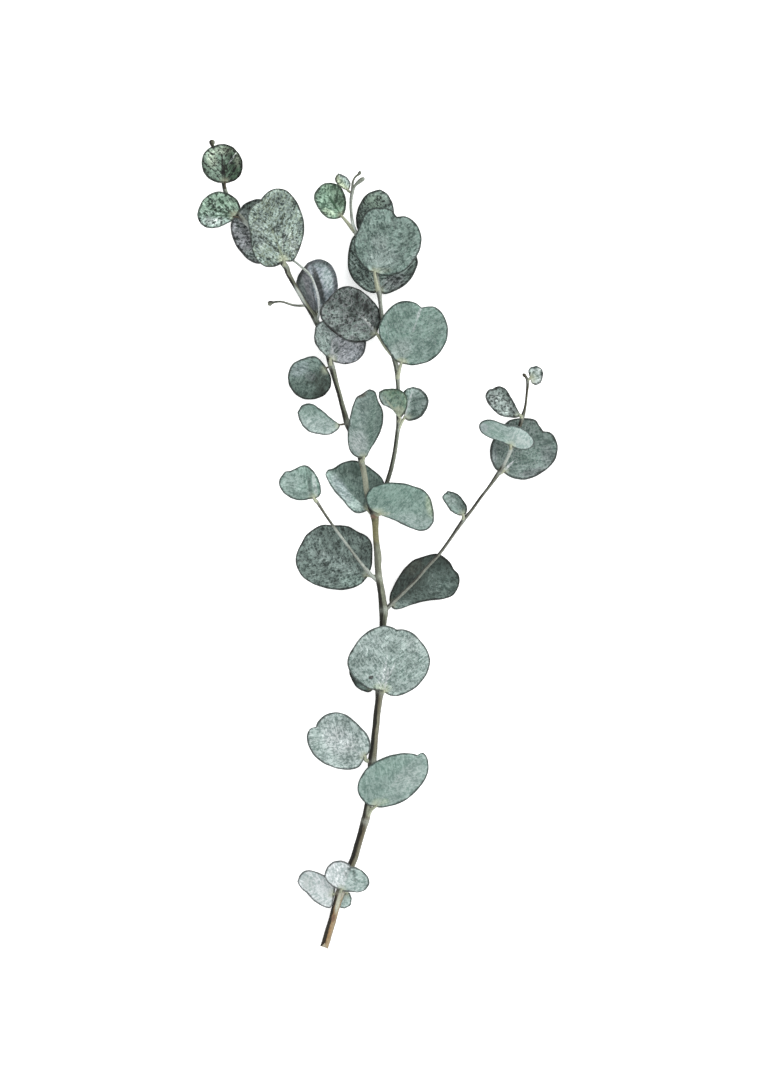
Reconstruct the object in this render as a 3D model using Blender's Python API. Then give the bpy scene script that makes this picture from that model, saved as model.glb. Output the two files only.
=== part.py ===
"""A cut branch of silver-dollar eucalyptus lying down, seen from above: +Z is up, +Y towards its tips."""
import math

import bmesh
import bpy
import numpy as np
from mathutils import Vector

MM = 0.001

# driving dimensions, mm
BLADE_THICK = 0.7
STALK_WIDE = 1.3
STALK_THICK = 1.1
GAP = 0.32
RINGS = (0.4, 0.74, 1.0)
SIDE_STEPS = 9
STEM_STEP = 11.0
STEM_SIDES = 8
TWIG_SIDES = 6
# the low leaves lie flat on the ground below this height of their middle surface
FLAT_SOFTNESS = 1.2
# where the measured frame's zero point sits in the branch's own coordinates
MIDDLE = (0.1, 0.4)

COLOURS = {
    "pale": (0.56, 0.63, 0.61),
    "sage": (0.27, 0.37, 0.32),
    "dark": (0.085, 0.115, 0.105),
    "fresh": (0.13, 0.24, 0.15),
    "wood": (0.20, 0.16, 0.10),
}

# the woody skeleton: points (x, y, height, radius) from the cut end outwards
MAIN_AND_LEFT = [
    (-29.7, -221.8, 2.1, 2.05), (-27, -213, 2.5, 2.05), (-23.5, -200.5, 3.4, 2.0),
    (-20.8, -191.5, 4.3, 2.3), (-17, -181.5, 5.2, 1.95), (-13, -172, 6.0, 1.9),
    (-9.5, -160, 7.0, 1.85), (-6.6, -150, 7.8, 2.1), (-4.6, -139, 8.6, 1.85),
    (-3.6, -127, 9.2, 1.85), (-3.2, -119, 9.6, 2.2), (-2.1, -109, 10.0, 1.8),
    (-0.8, -96, 10.5, 1.75), (0.5, -85, 11.0, 1.8), (1.2, -80, 11.2, 2.2),
    (1.9, -68, 11.6, 1.75), (2.5, -56, 12.0, 1.75), (2.8, -44, 12.4, 1.75),
    (3.0, -36, 12.6, 2.3), (2.3, -29, 12.9, 1.95), (0.9, -20, 13.1, 1.75),
    (0.0, -12, 13.2, 1.65), (0.1, -6.5, 13.3, 1.85), (-0.8, 1, 13.5, 1.55),
    (-1.3, 9, 13.8, 1.5), (-1.8, 16.5, 14.0, 2.0), (-4.4, 22.5, 14.2, 1.4),
    (-6.2, 30, 14.3, 1.3), (-7.3, 38, 14.4, 1.3), (-9, 46, 14.4, 1.5),
    (-12.5, 57, 14.3, 1.25), (-16.8, 67, 14.1, 1.5), (-19.3, 76, 14.0, 1.2),
    (-22.3, 87, 13.8, 1.15), (-25.4, 98, 13.6, 1.5), (-29.5, 111.5, 13.4, 1.1),
    (-34, 123.5, 13.2, 1.45), (-40, 133, 13.0, 1.0), (-45.5, 142.5, 12.8, 1.0),
    (-49.3, 149.5, 12.7, 1.25), (-51.2, 154, 12.6, 1.4), (-60, 163.5, 11.6, 0.9),
    (-69.5, 174.5, 11.2, 0.9), (-75.5, 180.3, 11.2, 1.2), (-80.5, 187, 11.0, 0.75),
    (-84, 195, 11.0, 1.0), (-86.5, 206, 10.6, 0.55), (-89.5, 215, 10.6, 0.5),
    (-91, 220, 10.8, 0.7), (-91.3, 222, 10.9, 1.1), (-91.2, 223.2, 10.9, 0.5),
]
RIGHT_LEADER = [
    (-1.6, 13.5, 13.9, 1.1), (1.6, 24, 14.3, 1.1), (5, 34.5, 14.6, 1.05),
    (8, 45, 14.8, 1.05), (9.8, 55, 15.0, 1.0), (11.2, 66, 15.0, 1.0),
    (11.6, 71, 15.0, 1.3), (11.4, 80, 15.0, 0.95), (10.9, 90, 15.0, 0.95),
    (10.5, 97, 15.0, 1.3), (8, 105, 15.1, 0.9), (5, 115, 15.2, 0.9),
    (2.4, 125, 15.3, 0.9), (1.2, 134, 15.3, 0.9), (0.5, 139.5, 15.3, 1.25),
    (-1, 150, 15.0, 0.8), (-3.5, 160, 14.5, 0.8), (-9, 167.5, 14.2, 0.75),
    (-12.3, 172, 14.0, 1.0), (-14.2, 179, 14.0, 0.65), (-14.9, 187, 14.0, 0.6),
    (-14.2, 194, 14.0, 0.8), (-12.6, 197.8, 14.0, 0.6), (-9.8, 200.4, 14.0, 1.1),
    (-8.2, 201.5, 14.0, 1.0), (-7.3, 202.0, 14.0, 0.4),
]
RIGHT_TWIG = [
    (3.2, -36.5, 12.6, 0.95), (8, -31.7, 12.9, 0.95), (14, -26, 13.0, 0.8),
    (20.5, -19.5, 13.1, 0.75), (27, -12, 13.1, 0.75), (34, -4.5, 13.2, 0.7),
    (40.5, 4.5, 13.3, 0.7), (47, 13.8, 13.4, 1.0), (51, 18.5, 13.4, 0.7),
    (56, 25.5, 13.4, 0.65), (61, 32, 13.4, 0.65), (66.5, 39.8, 13.4, 1.0),
    (70.5, 46.5, 13.3, 0.65), (73.2, 52.8, 13.2, 0.9), (76, 60, 13.1, 0.6),
    (79.4, 70, 13.0, 0.95), (81, 76, 13.2, 0.55), (82, 84, 13.4, 0.5),
    (82.4, 90, 13.6, 0.75), (81.5, 92.5, 13.8, 0.5), (80.5, 93.7, 13.9, 0.75),
    (79.7, 94.3, 13.9, 0.35),
]
LEFT_TWIG = [
    (0.6, -20.5, 13.0, 0.85), (-4, -16, 13.0, 0.9), (-10, -9, 13.2, 0.6),
    (-17.5, 1, 13.6, 0.55), (-24.5, 10.5, 14.0, 0.55), (-30, 18.5, 14.5, 0.55),
    (-33.4, 23.8, 14.8, 0.7),
]
BARE_TWIG = [
    (-39.3, 131.8, 13.0, 0.5), (-46, 132, 13.0, 0.45), (-53, 134, 13.0, 0.4),
    (-58, 133.5, 13.0, 0.5), (-59.5, 133, 13.0, 0.85), (-60.6, 132.8, 13.0, 0.4),
]
THIN_TWIG = [
    (-33.8, 122.8, 13.3, 0.5), (-32.3, 128, 14.3, 0.5), (-32.6, 135, 14.6, 0.5),
    (-34.3, 142, 14.4, 0.45), (-37.3, 148.5, 13.6, 0.45), (-42.5, 153.6, 12.0, 0.45),
    (-47, 157, 10.4, 0.45), (-51, 159.5, 9.0, 0.75),
]
SHOOT_FORK = [
    (-14.2, 193.5, 14.0, 0.5), (-13.9, 199, 14.6, 0.45), (-12.6, 202.3, 14.9, 0.4),
    (-10.6, 203.9, 15.0, 0.45), (-9.9, 204.9, 15.0, 0.8), (-9.6, 205.7, 15.0, 0.4),
]
ROUTES = (MAIN_AND_LEFT, RIGHT_LEADER, RIGHT_TWIG, LEFT_TWIG, BARE_TWIG, THIN_TWIG, SHOOT_FORK)

# Each leaf: its base and stalk end (x, y, height), its outline seen from above as one side, tip and
# the other side, then how far tip, side one and side two stand above the base, the bow and the wave.
LEAVES = {
    "low_left": dict(
        look="pale", base=(-25.3, -192.6, 4.2), stalk=[(-20.8, -191.5, 4.3)],
        one=[(-24.8, -187.5), (-27, -183.8), (-30.5, -181.3), (-35, -179.6), (-39.3, -179.3), (-42.6, -181.3)],
        tip=(-44.2, -185.3),
        two=[(-42.3, -189), (-38.3, -192.7), (-34.8, -196.3), (-30.3, -199), (-26.3, -199.7), (-24.8, -197)],
        lifts=(-2.0, 0.4, 0.6), bow=1.0, wave=0.4),
    "low_front": dict(
        look="pale", base=(-20.1, -190.0, 8.9), stalk=[(-20.9, -191.8, 4.3)],
        one=[(-24.6, -188), (-28.2, -184.3), (-28.9, -179.8), (-26.8, -175.6), (-23, -173.5), (-18.8, -173.3),
             (-15.9, -174.8)],
        tip=(-14.6, -176.6),
        two=[(-12, -176.9), (-8, -179), (-5.3, -182.3), (-4.4, -186), (-6.3, -189.3), (-10, -190.9),
             (-14.5, -190.9), (-18, -190.8)],
        lifts=(9.0, 1.0, -1.5), bow=1.0, wave=0.5),
    "low_back": dict(
        look="pale", base=(-17.0, -191.3, 2.2), stalk=[(-20.8, -191.5, 4.3)],
        one=[(-15.3, -192), (-14.3, -195), (-14.9, -198.6)],
        tip=(-17.8, -200.4),
        two=[(-20.8, -199.9), (-21.7, -196.5), (-19.6, -192.9)],
        lifts=(-6.0, 0.0, -0.5), bow=0.0, wave=0.0),
    "lower_right": dict(
        look="sage", base=(-1.2, -143.9, 11.6), stalk=[(-6.6, -150.5, 7.8)],
        one=[(-5, -143), (-8.4, -140.2), (-10.7, -136.3), (-11, -132.5), (-9, -127), (-5, -121.6), (0, -118.3),
             (6, -115.8), (13, -114.2), (19, -114.4)],
        tip=(21.8, -115.4),
        two=[(25, -114), (27.4, -117), (28.2, -121), (27.4, -126), (24, -132), (19, -137.5), (13, -141.5),
             (7, -143.6), (2, -144.4)],
        lifts=(4.0, 1.6, 1.2), bow=1.6, wave=0.5),
    "lower_left": dict(
        look="pale", base=(-6.6, -116.4, 11.5), stalk=[(-6.5, -118.3, 11.0), (-3.2, -119, 9.6)],
        one=[(-4.4, -113.6), (-3.8, -109.5), (-5, -105), (-9, -100.3), (-15, -94.5), (-20, -92.2), (-26, -92.2),
             (-30.5, -94.3), (-33, -97.2)],
        tip=(-33.9, -99.9),
        two=[(-37, -101), (-39, -105), (-38, -110.5), (-34.5, -116), (-29, -120.3), (-22, -122.8), (-15, -123.5),
             (-10.5, -122.3), (-8.4, -119.5)],
        lifts=(0.5, 2.4, 1.0), bow=1.0, wave=0.8),
    "middle_round": dict(
        look="pale", base=(3.4, -80.7, 14.9), stalk=[(1.4, -80.4, 11.2)],
        one=[(0.5, -79.7), (-4, -79), (-8.5, -77), (-12.3, -74), (-14.7, -70.3), (-16.6, -65), (-15.6, -60),
             (-12, -54), (-7.5, -49), (-2, -45.5), (3.5, -44), (8, -44.8)],
        tip=(10.5, -46.3),
        two=[(15, -46.4), (20, -48.6), (24.7, -53.6), (27.9, -59), (28.9, -64.5), (27.3, -70.5), (23.3, -76),
             (18, -80.2), (12, -82.8), (7.5, -82.8)],
        lifts=(3.0, 1.2, 0.6), bow=1.6, wave=0.9),
    "middle_round_back": dict(
        look="dark", base=(-2.0, -79.3, 9.6), stalk=[(1.2, -80, 11.2)],
        one=[(-5, -81), (-9.2, -79.8), (-12.8, -76.6), (-15.2, -71.5), (-15.6, -66)],
        tip=(-14, -62.5),
        two=[(-9, -61), (-4, -66), (-2, -73)],
        lifts=(-3.0, -1.0, 0.5), bow=0.5, wave=0.3),
    "fork_right": dict(
        look="dark", base=(6.9, -33.2, 9.6), stalk=[(3.0, -35.6, 12.6)],
        one=[(6.6, -29), (8, -24), (11, -18.3), (15.3, -12.3), (20, -8), (26, -6), (32, -4.6), (36.3, -6),
             (40, -9.3)],
        tip=(42.2, -13.4),
        two=[(44.7, -16.2), (45.4, -20), (43.8, -25), (40.5, -28.3), (34, -30), (27, -30.8), (20, -32.4),
             (13, -35), (9.3, -35.3)],
        lifts=(-14.0, 1.2, 1.2), bow=0.5, wave=0.5),
    "fork_left": dict(
        look="dark", base=(-5, -16.7, 9.6), stalk=[(0.4, -17.5, 13.1)],
        one=[(-3.2, -11), (-2.7, -4), (-3.3, 1.5), (-6, 5), (-11, 7.6), (-15.5, 10.3), (-20, 11.2), (-25, 11),
             (-30, 11.3), (-35, 9.2), (-39.2, 6), (-41.7, 1.8)],
        tip=(-43.4, -1.5),
        two=[(-45.2, -7), (-44.6, -12), (-42, -16.7), (-37, -20.5), (-30, -23.4), (-22, -24.6), (-15, -24),
             (-9.3, -21.6), (-6.6, -18.7)],
        lifts=(-18.0, 1.5, 1.0), bow=0.0, wave=0.5),
    "left_twig_tip": dict(
        look="sage", base=(-34.8, 25.6, 15.3), stalk=[(-33.4, 23.8, 14.8)],
        one=[(-32.3, 26.8), (-31, 30), (-32.3, 35.5), (-35.3, 41), (-39.5, 43.9), (-43.2, 43.3), (-46, 41.8)],
        tip=(-48, 40.9),
        two=[(-51, 40.2), (-53.9, 36.3), (-53.9, 33), (-51.5, 28.7), (-47, 25.7), (-41.5, 24.6), (-37, 25.4)],
        lifts=(2.0, -5.0, 1.0), bow=1.0, wave=0.5),
    "centre_right": dict(
        look="sage", base=(0.9, 17.0, 17.3), stalk=[(-1.5, 16.6, 14.0)],
        one=[(-3.3, 19.3), (-6.2, 23.5), (-6.1, 28), (-3, 32), (3, 34), (9, 34.6), (15, 34), (20, 32.4),
             (25.5, 30.3), (28.8, 26.5), (30.2, 22.5)],
        tip=(30.9, 18),
        two=[(30.8, 12.8), (28, 9), (23.5, 7.9), (17, 9.8), (10, 13.4), (5, 15.3)],
        lifts=(2.0, 1.0, -1.5), bow=1.2, wave=0.5),
    "centre_left": dict(
        look="dark", base=(-5.2, 19.4, 10.9), stalk=[(-2.2, 16.4, 14.0)],
        one=[(-1, 21.5), (2.5, 26.5), (4, 32), (3, 36), (0, 39.5), (-5, 43.5), (-10, 46), (-15, 46.7),
             (-20.5, 45), (-24.5, 42.4)],
        tip=(-27.3, 41.6),
        two=[(-28.6, 39), (-26.5, 34), (-23, 29), (-19, 24.5), (-15, 20), (-11.5, 17.6), (-8, 18)],
        lifts=(-5.0, -1.0, 2.4), bow=-0.5, wave=0.3),
    "rolled": dict(
        look="sage", base=(-7.6, 47.7, 18.2), stalk=[(-9.0, 45.6, 14.4)],
        one=[(-10.6, 48.2), (-13.3, 49.6), (-15.6, 53), (-16.3, 58.5), (-16, 65), (-14.9, 71.5), (-13.3, 77),
             (-11.6, 81.2), (-8.5, 83.3), (-6.2, 84.8)],
        tip=(-4.3, 85.7),
        two=[(-1.6, 84.6), (-0.4, 82), (0.6, 78.8), (2.5, 75), (3.1, 70), (2.4, 64.5), (0.3, 59.7),
             (-2.2, 55.3), (-4.5, 51.5), (-5.8, 48.8)],
        lifts=(1.0, -3.5, -3.5), bow=3.5, wave=0.2),
    "left_side": dict(
        look="sage", base=(-20.5, 66.3, 14.7), stalk=[(-17, 67, 14.1)],
        one=[(-23.3, 68.2), (-27, 71.2), (-31, 74.5), (-35, 77.3), (-38.7, 77.8), (-42, 76.6)],
        tip=(-44, 73),
        two=[(-43, 69), (-41, 65.3), (-37.3, 62.4), (-32.5, 61), (-27, 60.8), (-23.3, 62.3), (-21.2, 64.4)],
        lifts=(1.0, 3.0, -1.0), bow=0.8, wave=0.3),
    "left_dark_round": dict(
        look="dark", base=(-28.1, 97.6, 12.4), stalk=[(-25.5, 98.3, 13.6)],
        one=[(-26, 93.5), (-25.3, 89.5), (-26.6, 85.5), (-30.5, 81.9), (-36, 80.2), (-41, 80.8), (-45.5, 83.5),
             (-48.6, 87.8)],
        tip=(-49.3, 92),
        two=[(-48.8, 96), (-46.8, 99.8), (-41, 102.8), (-36, 104), (-32.6, 103), (-29.8, 100.3)],
        lifts=(-6.0, -2.0, 1.5), bow=1.5, wave=0.4),
    "left_cross_low": dict(
        look="pale", base=(-25.9, 101.6, 17.0), stalk=[(-25.6, 98.8, 13.6)],
        one=[(-28.8, 104.3), (-32.3, 107.8), (-34.7, 112.5), (-34.6, 117.5), (-33.2, 121.3), (-29.5, 123.5)],
        tip=(-24, 123.8),
        two=[(-17, 122), (-10, 118.5), (-6.8, 113.5), (-6.4, 109.5), (-8, 104.8), (-12, 101.2), (-17.5, 99.5),
             (-22.5, 100.3)],
        lifts=(0.4, 0.6, -7.5), bow=0.4, wave=0.3),
    "left_cross_high": dict(
        look="dark", base=(-0.2, 116.2, 13.0), stalk=[(4.2, 109.6, 13.6), (8, 105, 15.1)],
        one=[(0.5, 119.3), (1.8, 123.5), (1.7, 128), (-1, 132.5), (-5, 137), (-10, 140.5), (-15.5, 142.4),
             (-19, 142)],
        tip=(-22, 140.5),
        two=[(-27.5, 135), (-31.3, 130), (-31, 125), (-28, 120.6), (-24, 116.8), (-19, 113.6), (-13, 111.6),
             (-7, 111.8), (-3, 113.7)],
        lifts=(7.5, -1.5, 3.6), bow=0.0, wave=0.3),
    "right_leader_round": dict(
        look="sage", base=(13, 99.8, 17.4), stalk=[(10.5, 97.3, 15.0)],
        one=[(9.8, 101.5), (7.2, 105), (4.3, 109.2), (1.6, 113.5), (0.7, 118), (1.3, 122.3), (3.6, 126.8),
             (7, 130.5), (11.5, 133.5), (16.8, 134.3), (21, 133.1)],
        tip=(24.2, 130.6),
        two=[(27.5, 131.1), (31.8, 130.9), (35.3, 128), (37.7, 123.5), (38.7, 117.5), (37.7, 111.5),
             (34.5, 106), (30, 102), (24.5, 99.7), (19, 98.8), (15.5, 99.4)],
        lifts=(2.5, 0.8, 0.8), bow=1.4, wave=0.8),
    "right_leader_low": dict(
        look="sage", base=(12.3, 72.6, 17.9), stalk=[(11.6, 71, 15.0)],
        one=[(9, 74), (6, 75.8), (3, 77.2), (1.5, 79.5), (0.7, 81.8)],
        tip=(0.9, 84.2),
        two=[(4, 85.8), (9, 86.1), (13, 85), (16, 82.3), (16.3, 78), (14.8, 74)],
        lifts=(3.0, 1.5, 1.0), bow=0.8, wave=0.2),
    "right_leader_low_back": dict(
        look="dark", base=(14.6, 69.7, 14.8), stalk=[(11.6, 71, 15.0)],
        one=[(15, 74), (14.8, 79), (14.2, 83.5), (16.2, 86.2)],
        tip=(19.5, 87.1),
        two=[(24, 85.8), (27, 82.7), (28, 79), (27, 74.7), (24, 70.7), (20, 68.6), (17, 68.4)],
        lifts=(0.5, -1.0, 2.0), bow=0.5, wave=0.3),
    "top_round": dict(
        look="sage", base=(-1.6, 149.7, 17.8), stalk=[(-0.6, 144, 17.0), (0.5, 139.5, 15.3)],
        one=[(-4.5, 150.5), (-8.5, 153.8), (-11.6, 158), (-12.7, 163), (-12.7, 168), (-11.2, 172.5), (-9.4, 177),
             (-7, 181.8), (-3.5, 184.8), (2, 185.4), (7, 184.6)],
        tip=(10.6, 180.4),
        two=[(15, 180.6), (19, 178.9), (22.6, 174.6), (24.1, 169), (23.5, 163), (21, 157.5), (17, 152.6),
             (12, 149.6), (6.5, 148), (2, 148.2)],
        lifts=(3.0, 0.5, 1.0), bow=1.4, wave=0.8),
    "top_back": dict(
        look="dark", base=(0.8, 139.4, 12.0), stalk=[(0.5, 139.0, 15.3)],
        one=[(-3, 138.8), (-8, 141), (-12.5, 145), (-15.5, 150.3), (-16.5, 156), (-16.2, 162), (-14.8, 167.5),
             (-12, 171.5), (-5, 173)],
        tip=(3, 172),
        two=[(12, 170), (19, 164), (22.2, 157.5), (21.3, 152), (17.5, 145.7), (12, 141.2), (6.5, 138.7),
             (3.5, 138.2)],
        lifts=(-22.0, 1.5, 1.5), bow=0.0, wave=0.4),
    "top_high": dict(
        look="dark", base=(-3.6, 165.4, 12.4), stalk=[(-3.7, 160.5, 14.5)],
        one=[(-7.5, 167), (-10.3, 171.5), (-11.8, 178), (-11.3, 184), (-9, 189), (-6, 193), (-2, 195)],
        tip=(1.5, 195.6),
        two=[(5, 193.6), (7.6, 190), (8.8, 186), (8.8, 180), (6.5, 172), (1.5, 166.5)],
        lifts=(3.0, -1.0, -0.5), bow=0.0, wave=0.5),
    "shoot_left": dict(
        look="fresh", base=(-19.4, 180.7, 14.5), stalk=[(-16.2, 177, 14.2), (-12.5, 172.3, 14.0)],
        one=[(-22, 179.6), (-26, 179.3), (-29.6, 181.5), (-33, 185.7), (-34.8, 190.5), (-34.1, 194.5)],
        tip=(-31, 198),
        two=[(-27.5, 199.3), (-23.5, 198.9), (-20.3, 196.8), (-18, 193), (-17.2, 188), (-17.8, 183.5)],
        lifts=(2.5, 1.0, 1.0), bow=0.8, wave=0.4),
    "shoot_bud_leaf": dict(
        look="pale", base=(-16.2, 195.1, 13.4), stalk=[(-14.2, 193.8, 14.0)],
        one=[(-19.3, 196.2), (-22.8, 199.4), (-23.2, 202.6)],
        tip=(-21.6, 204.5),
        two=[(-19, 203.7), (-16.4, 201.8), (-15.0, 199.6), (-15.0, 197)],
        lifts=(1.5, 0.6, 0.6), bow=0.4, wave=0.0),
    "folded_purple": dict(
        look="dark", base=(-33.2, 126.6, 10.6), stalk=[(-34, 123.8, 13.2)],
        one=[(-36.3, 127.8), (-40, 132), (-43.4, 138), (-44.9, 143), (-43.8, 148), (-41.7, 151.8)],
        tip=(-38.6, 155.3),
        two=[(-33.5, 157.5), (-28.5, 156.7), (-24.8, 153.3), (-22.4, 147.5), (-21.8, 142), (-23.2, 135.5),
             (-26.5, 130), (-30, 127)],
        lifts=(-1.5, -3.5, 1.6), bow=1.2, wave=0.3),
    "upper_left": dict(
        look="sage", base=(-51.3, 156.1, 16.0), stalk=[(-51.1, 153.6, 12.6)],
        one=[(-54, 154.2), (-58, 152.8), (-62, 153.2), (-65.7, 156), (-68.3, 160.5), (-69.8, 166), (-70.2, 172),
             (-71.3, 178), (-70.8, 183), (-68, 187.3)],
        tip=(-64.3, 189.6),
        two=[(-62.3, 192.3), (-59, 195), (-54.5, 196.2), (-50, 195), (-46, 191), (-43, 186), (-40.8, 180),
             (-40.1, 174.5), (-41, 168.5), (-43.3, 161.5), (-46.3, 156.3)],
        lifts=(2.5, 0.6, 1.0), bow=1.6, wave=0.8),
    "upper_left_back": dict(
        look="dark", base=(-54.5, 161, 8.2), stalk=[(-51, 159.5, 9.0)],
        one=[(-58, 156.5), (-65, 155), (-70, 156.6), (-74, 160), (-78, 165), (-80, 170), (-81.1, 175.5),
             (-80, 180.5)],
        tip=(-76, 185.3),
        two=[(-73.8, 188), (-69.5, 190.4), (-64.5, 191), (-59.5, 187), (-55, 178), (-52.5, 168)],
        lifts=(-15.0, 1.0, 1.0), bow=0.0, wave=0.4),
    "left_end": dict(
        look="fresh", base=(-78.4, 180.7, 13.7), stalk=[(-75.6, 180.4, 11.2)],
        one=[(-80.3, 178.3), (-83.7, 176.3), (-88, 174.7), (-92, 174.2), (-95.6, 175.5), (-98.3, 178.2)],
        tip=(-99.2, 181.8),
        two=[(-98, 186), (-96.3, 189.6), (-93, 192.5), (-88.5, 194.4), (-84, 194.2), (-80, 192.3),
             (-76.6, 189), (-75.4, 184.7)],
        lifts=(1.0, 0.8, 0.6), bow=0.8, wave=0.4),
    "left_end_tip": dict(
        look="fresh", base=(-83.8, 199.0, 13.8), stalk=[(-84, 195.2, 11.0)],
        one=[(-88, 199.5), (-91.7, 200.8), (-94.9, 204), (-96.7, 209), (-96.1, 214), (-93, 218), (-88.5, 220.2)],
        tip=(-84.5, 220.7),
        two=[(-79.5, 219), (-76, 215), (-74, 210), (-74.8, 204.7), (-77.6, 201.1), (-81, 199.6)],
        lifts=(2.0, 0.8, 0.8), bow=0.8, wave=0.4),
    "right_twig_low": dict(
        look="sage", base=(47.2, 16.2, 15.4), stalk=[(47, 13.8, 13.4)],
        one=[(44, 16.6), (40.5, 18.7), (37.6, 22.5), (35.6, 26.8)],
        tip=(38.5, 29.9),
        two=[(43, 28.8), (46.6, 25.5), (49, 21.5), (49.1, 18)],
        lifts=(1.5, 0.6, 1.2), bow=0.5, wave=0.2),
    "right_end_edge": dict(
        look="pale", base=(73.3, 54.4, 15.8), stalk=[(73.2, 52.6, 13.2)],
        one=[(70.5, 55.7), (66, 57.4), (61, 59.4), (57.2, 61.8), (55.5, 65), (57.3, 68), (62, 68.9), (66.5, 67.6)],
        tip=(70.8, 66),
        two=[(74.5, 66.3), (78.5, 64.9), (82.3, 62.3), (85.3, 59.3), (86.5, 56.4), (84.8, 53.9), (81, 52.7),
             (77, 53.1)],
        lifts=(8.0, -1.0, -1.5), bow=0.0, wave=0.0),
    "right_end_round": dict(
        look="dark", base=(69, 40.5, 9.6), stalk=[(66.8, 39.8, 13.4)],
        one=[(65.7, 41.3), (63.3, 44.8), (61.8, 50), (62.6, 55.5), (65.3, 61), (69, 65.5), (72.5, 68.9),
             (77, 69.9), (82.5, 70.2), (87.3, 69.2), (89.2, 66.3)],
        tip=(91.5, 62.9),
        two=[(95, 62.4), (98, 59.5), (99.5, 55), (99, 50), (97, 45.6), (93, 41.5), (88, 38.4), (82, 36.3),
             (76, 36.5), (71.6, 38.4)],
        lifts=(-14.0, 2.0, 0.5), bow=-0.5, wave=0.5),
    "right_end_upper": dict(
        look="sage", base=(77.6, 72.2, 14.5), stalk=[(79.4, 70, 13.0)],
        one=[(75, 70.8), (71, 70.5), (67, 72), (63, 75.5), (60, 79.5), (59.3, 83), (61.2, 85.6)],
        tip=(63.2, 86),
        two=[(66.5, 87.5), (70, 86.4), (73, 83), (75.7, 79.8), (78.1, 76.8), (78.6, 74)],
        lifts=(2.5, 1.0, 1.4), bow=0.6, wave=0.3),
    "right_end_tip": dict(
        look="pale", base=(83.9, 92.0, 14.5), stalk=[(82.4, 90, 13.6)],
        one=[(84.9, 89.2), (87, 88.1), (90, 89.8), (91, 93.5), (90.3, 97)],
        tip=(87.5, 98.7),
        two=[(84.6, 98), (83, 96.4), (83.2, 94)],
        lifts=(1.5, 0.8, 0.4), bow=0.4, wave=0.2),
}


def clear_scene():
    for ob in list(bpy.data.objects):
        bpy.data.objects.remove(ob)


def principled(name, colour):
    mat = bpy.data.materials.new(name)
    mat.use_nodes = True
    shader = mat.node_tree.nodes["Principled BSDF"]
    shader.inputs["Base Color"].default_value = (*colour, 1)
    shader.inputs["Roughness"].default_value = 0.6
    mat.diffuse_color = (*colour, 1)
    return mat


def spline(points, steps):
    """A smooth curve through the points, as steps + 1 points evenly spaced along its length."""
    pts = np.array(points, float)
    ends = np.vstack([2 * pts[0] - pts[1], pts, 2 * pts[-1] - pts[-2]])
    fine = []
    for i in range(1, len(ends) - 2):
        p0, p1, p2, p3 = ends[i - 1:i + 3]
        for u in np.arange(0, 1, 0.05):
            fine.append(0.5 * (2 * p1 + (p2 - p0) * u + (2 * p0 - 5 * p1 + 4 * p2 - p3) * u ** 2
                               + (3 * p1 - p0 - 3 * p2 + p3) * u ** 3))
    fine = np.array(fine + [pts[-1]])
    along = np.concatenate([[0], np.cumsum(np.linalg.norm(np.diff(fine, axis=0), axis=1))])
    wanted = np.linspace(0, along[-1], steps + 1)
    return np.stack([np.interp(wanted, along, fine[:, k]) for k in range(fine.shape[1])], axis=1)


def fill_route(route):
    """The route's own points with more between them where they stand far apart."""
    filled = []
    curve = spline(route, 40 * len(route))
    places = [int(np.argmin(np.linalg.norm(curve[:, :3] - np.array(p[:3]), axis=1))) for p in route]
    for (start, stop), point in zip(zip(places, places[1:]), route):
        filled.append(point)
        length = np.linalg.norm(np.subtract(curve[stop][:3], curve[start][:3]))
        for k in range(1, math.ceil(length / STEM_STEP)):
            filled.append(tuple(curve[start + (stop - start) * k // math.ceil(length / STEM_STEP)]))
    filled.append(route[-1])
    return filled


def distance_to_wood(point, wood):
    """How far a point is from the surface of the woody skeleton."""
    nearest = 1e9
    for starts, spans, radii in wood:
        to = point - starts
        u = np.clip((to * spans).sum(axis=1) / (spans ** 2).sum(axis=1), 0, 1)
        gap = np.linalg.norm(to - spans * u[:, None], axis=1) - (radii[:-1] + (radii[1:] - radii[:-1]) * u)
        nearest = min(nearest, gap.min())
    return nearest


def wood_segments():
    segments = []
    for route in ROUTES:
        points = np.array(fill_route(route))
        segments.append((points[:-1, :3], np.diff(points[:, :3], axis=0), points[:, 3]))
    return segments


def mesh_object(name, points, faces, look):
    mesh = bpy.data.meshes.new(name)
    shift = Vector((MIDDLE[0], MIDDLE[1], 0))
    mesh.from_pydata([(Vector(p) - shift) * MM for p in points], [], faces)
    mesh.update()
    ob = bpy.data.objects.new(name, mesh)
    bpy.context.scene.collection.objects.link(ob)
    mesh.materials.append(principled(name + "_" + look, COLOURS[look]))
    for poly in mesh.polygons:
        poly.use_smooth = True
    mesh.set_sharp_from_angle(angle=math.radians(50))
    return ob


def tube(name, route, sides):
    """A round tube through the route's points, closed at both ends."""
    pts = fill_route(route)
    centres = np.array([p[:3] for p in pts], float)
    points, faces = [], []
    for i, (centre, data) in enumerate(zip(centres, pts)):
        ahead = centres[min(i + 1, len(pts) - 1)] - centres[max(i - 1, 0)]
        ahead /= np.linalg.norm(ahead)
        across = np.cross(ahead, (0, 0, 1))
        across /= np.linalg.norm(across)
        up = np.cross(across, ahead)
        for k in range(sides):
            a = 2 * math.pi * (k + 0.5) / sides
            points.append(centre + data[3] * (across * math.cos(a) + up * math.sin(a)))
    for i in range(len(pts) - 1):
        for k in range(sides):
            a, b = i * sides + k, i * sides + (k + 1) % sides
            faces.append((a, a + sides, b + sides, b))
    faces.append(tuple(range(sides)))
    faces.append(tuple(range(len(points) - 1, len(points) - 1 - sides, -1)))
    return mesh_object(name, points, faces, "wood")


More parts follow.
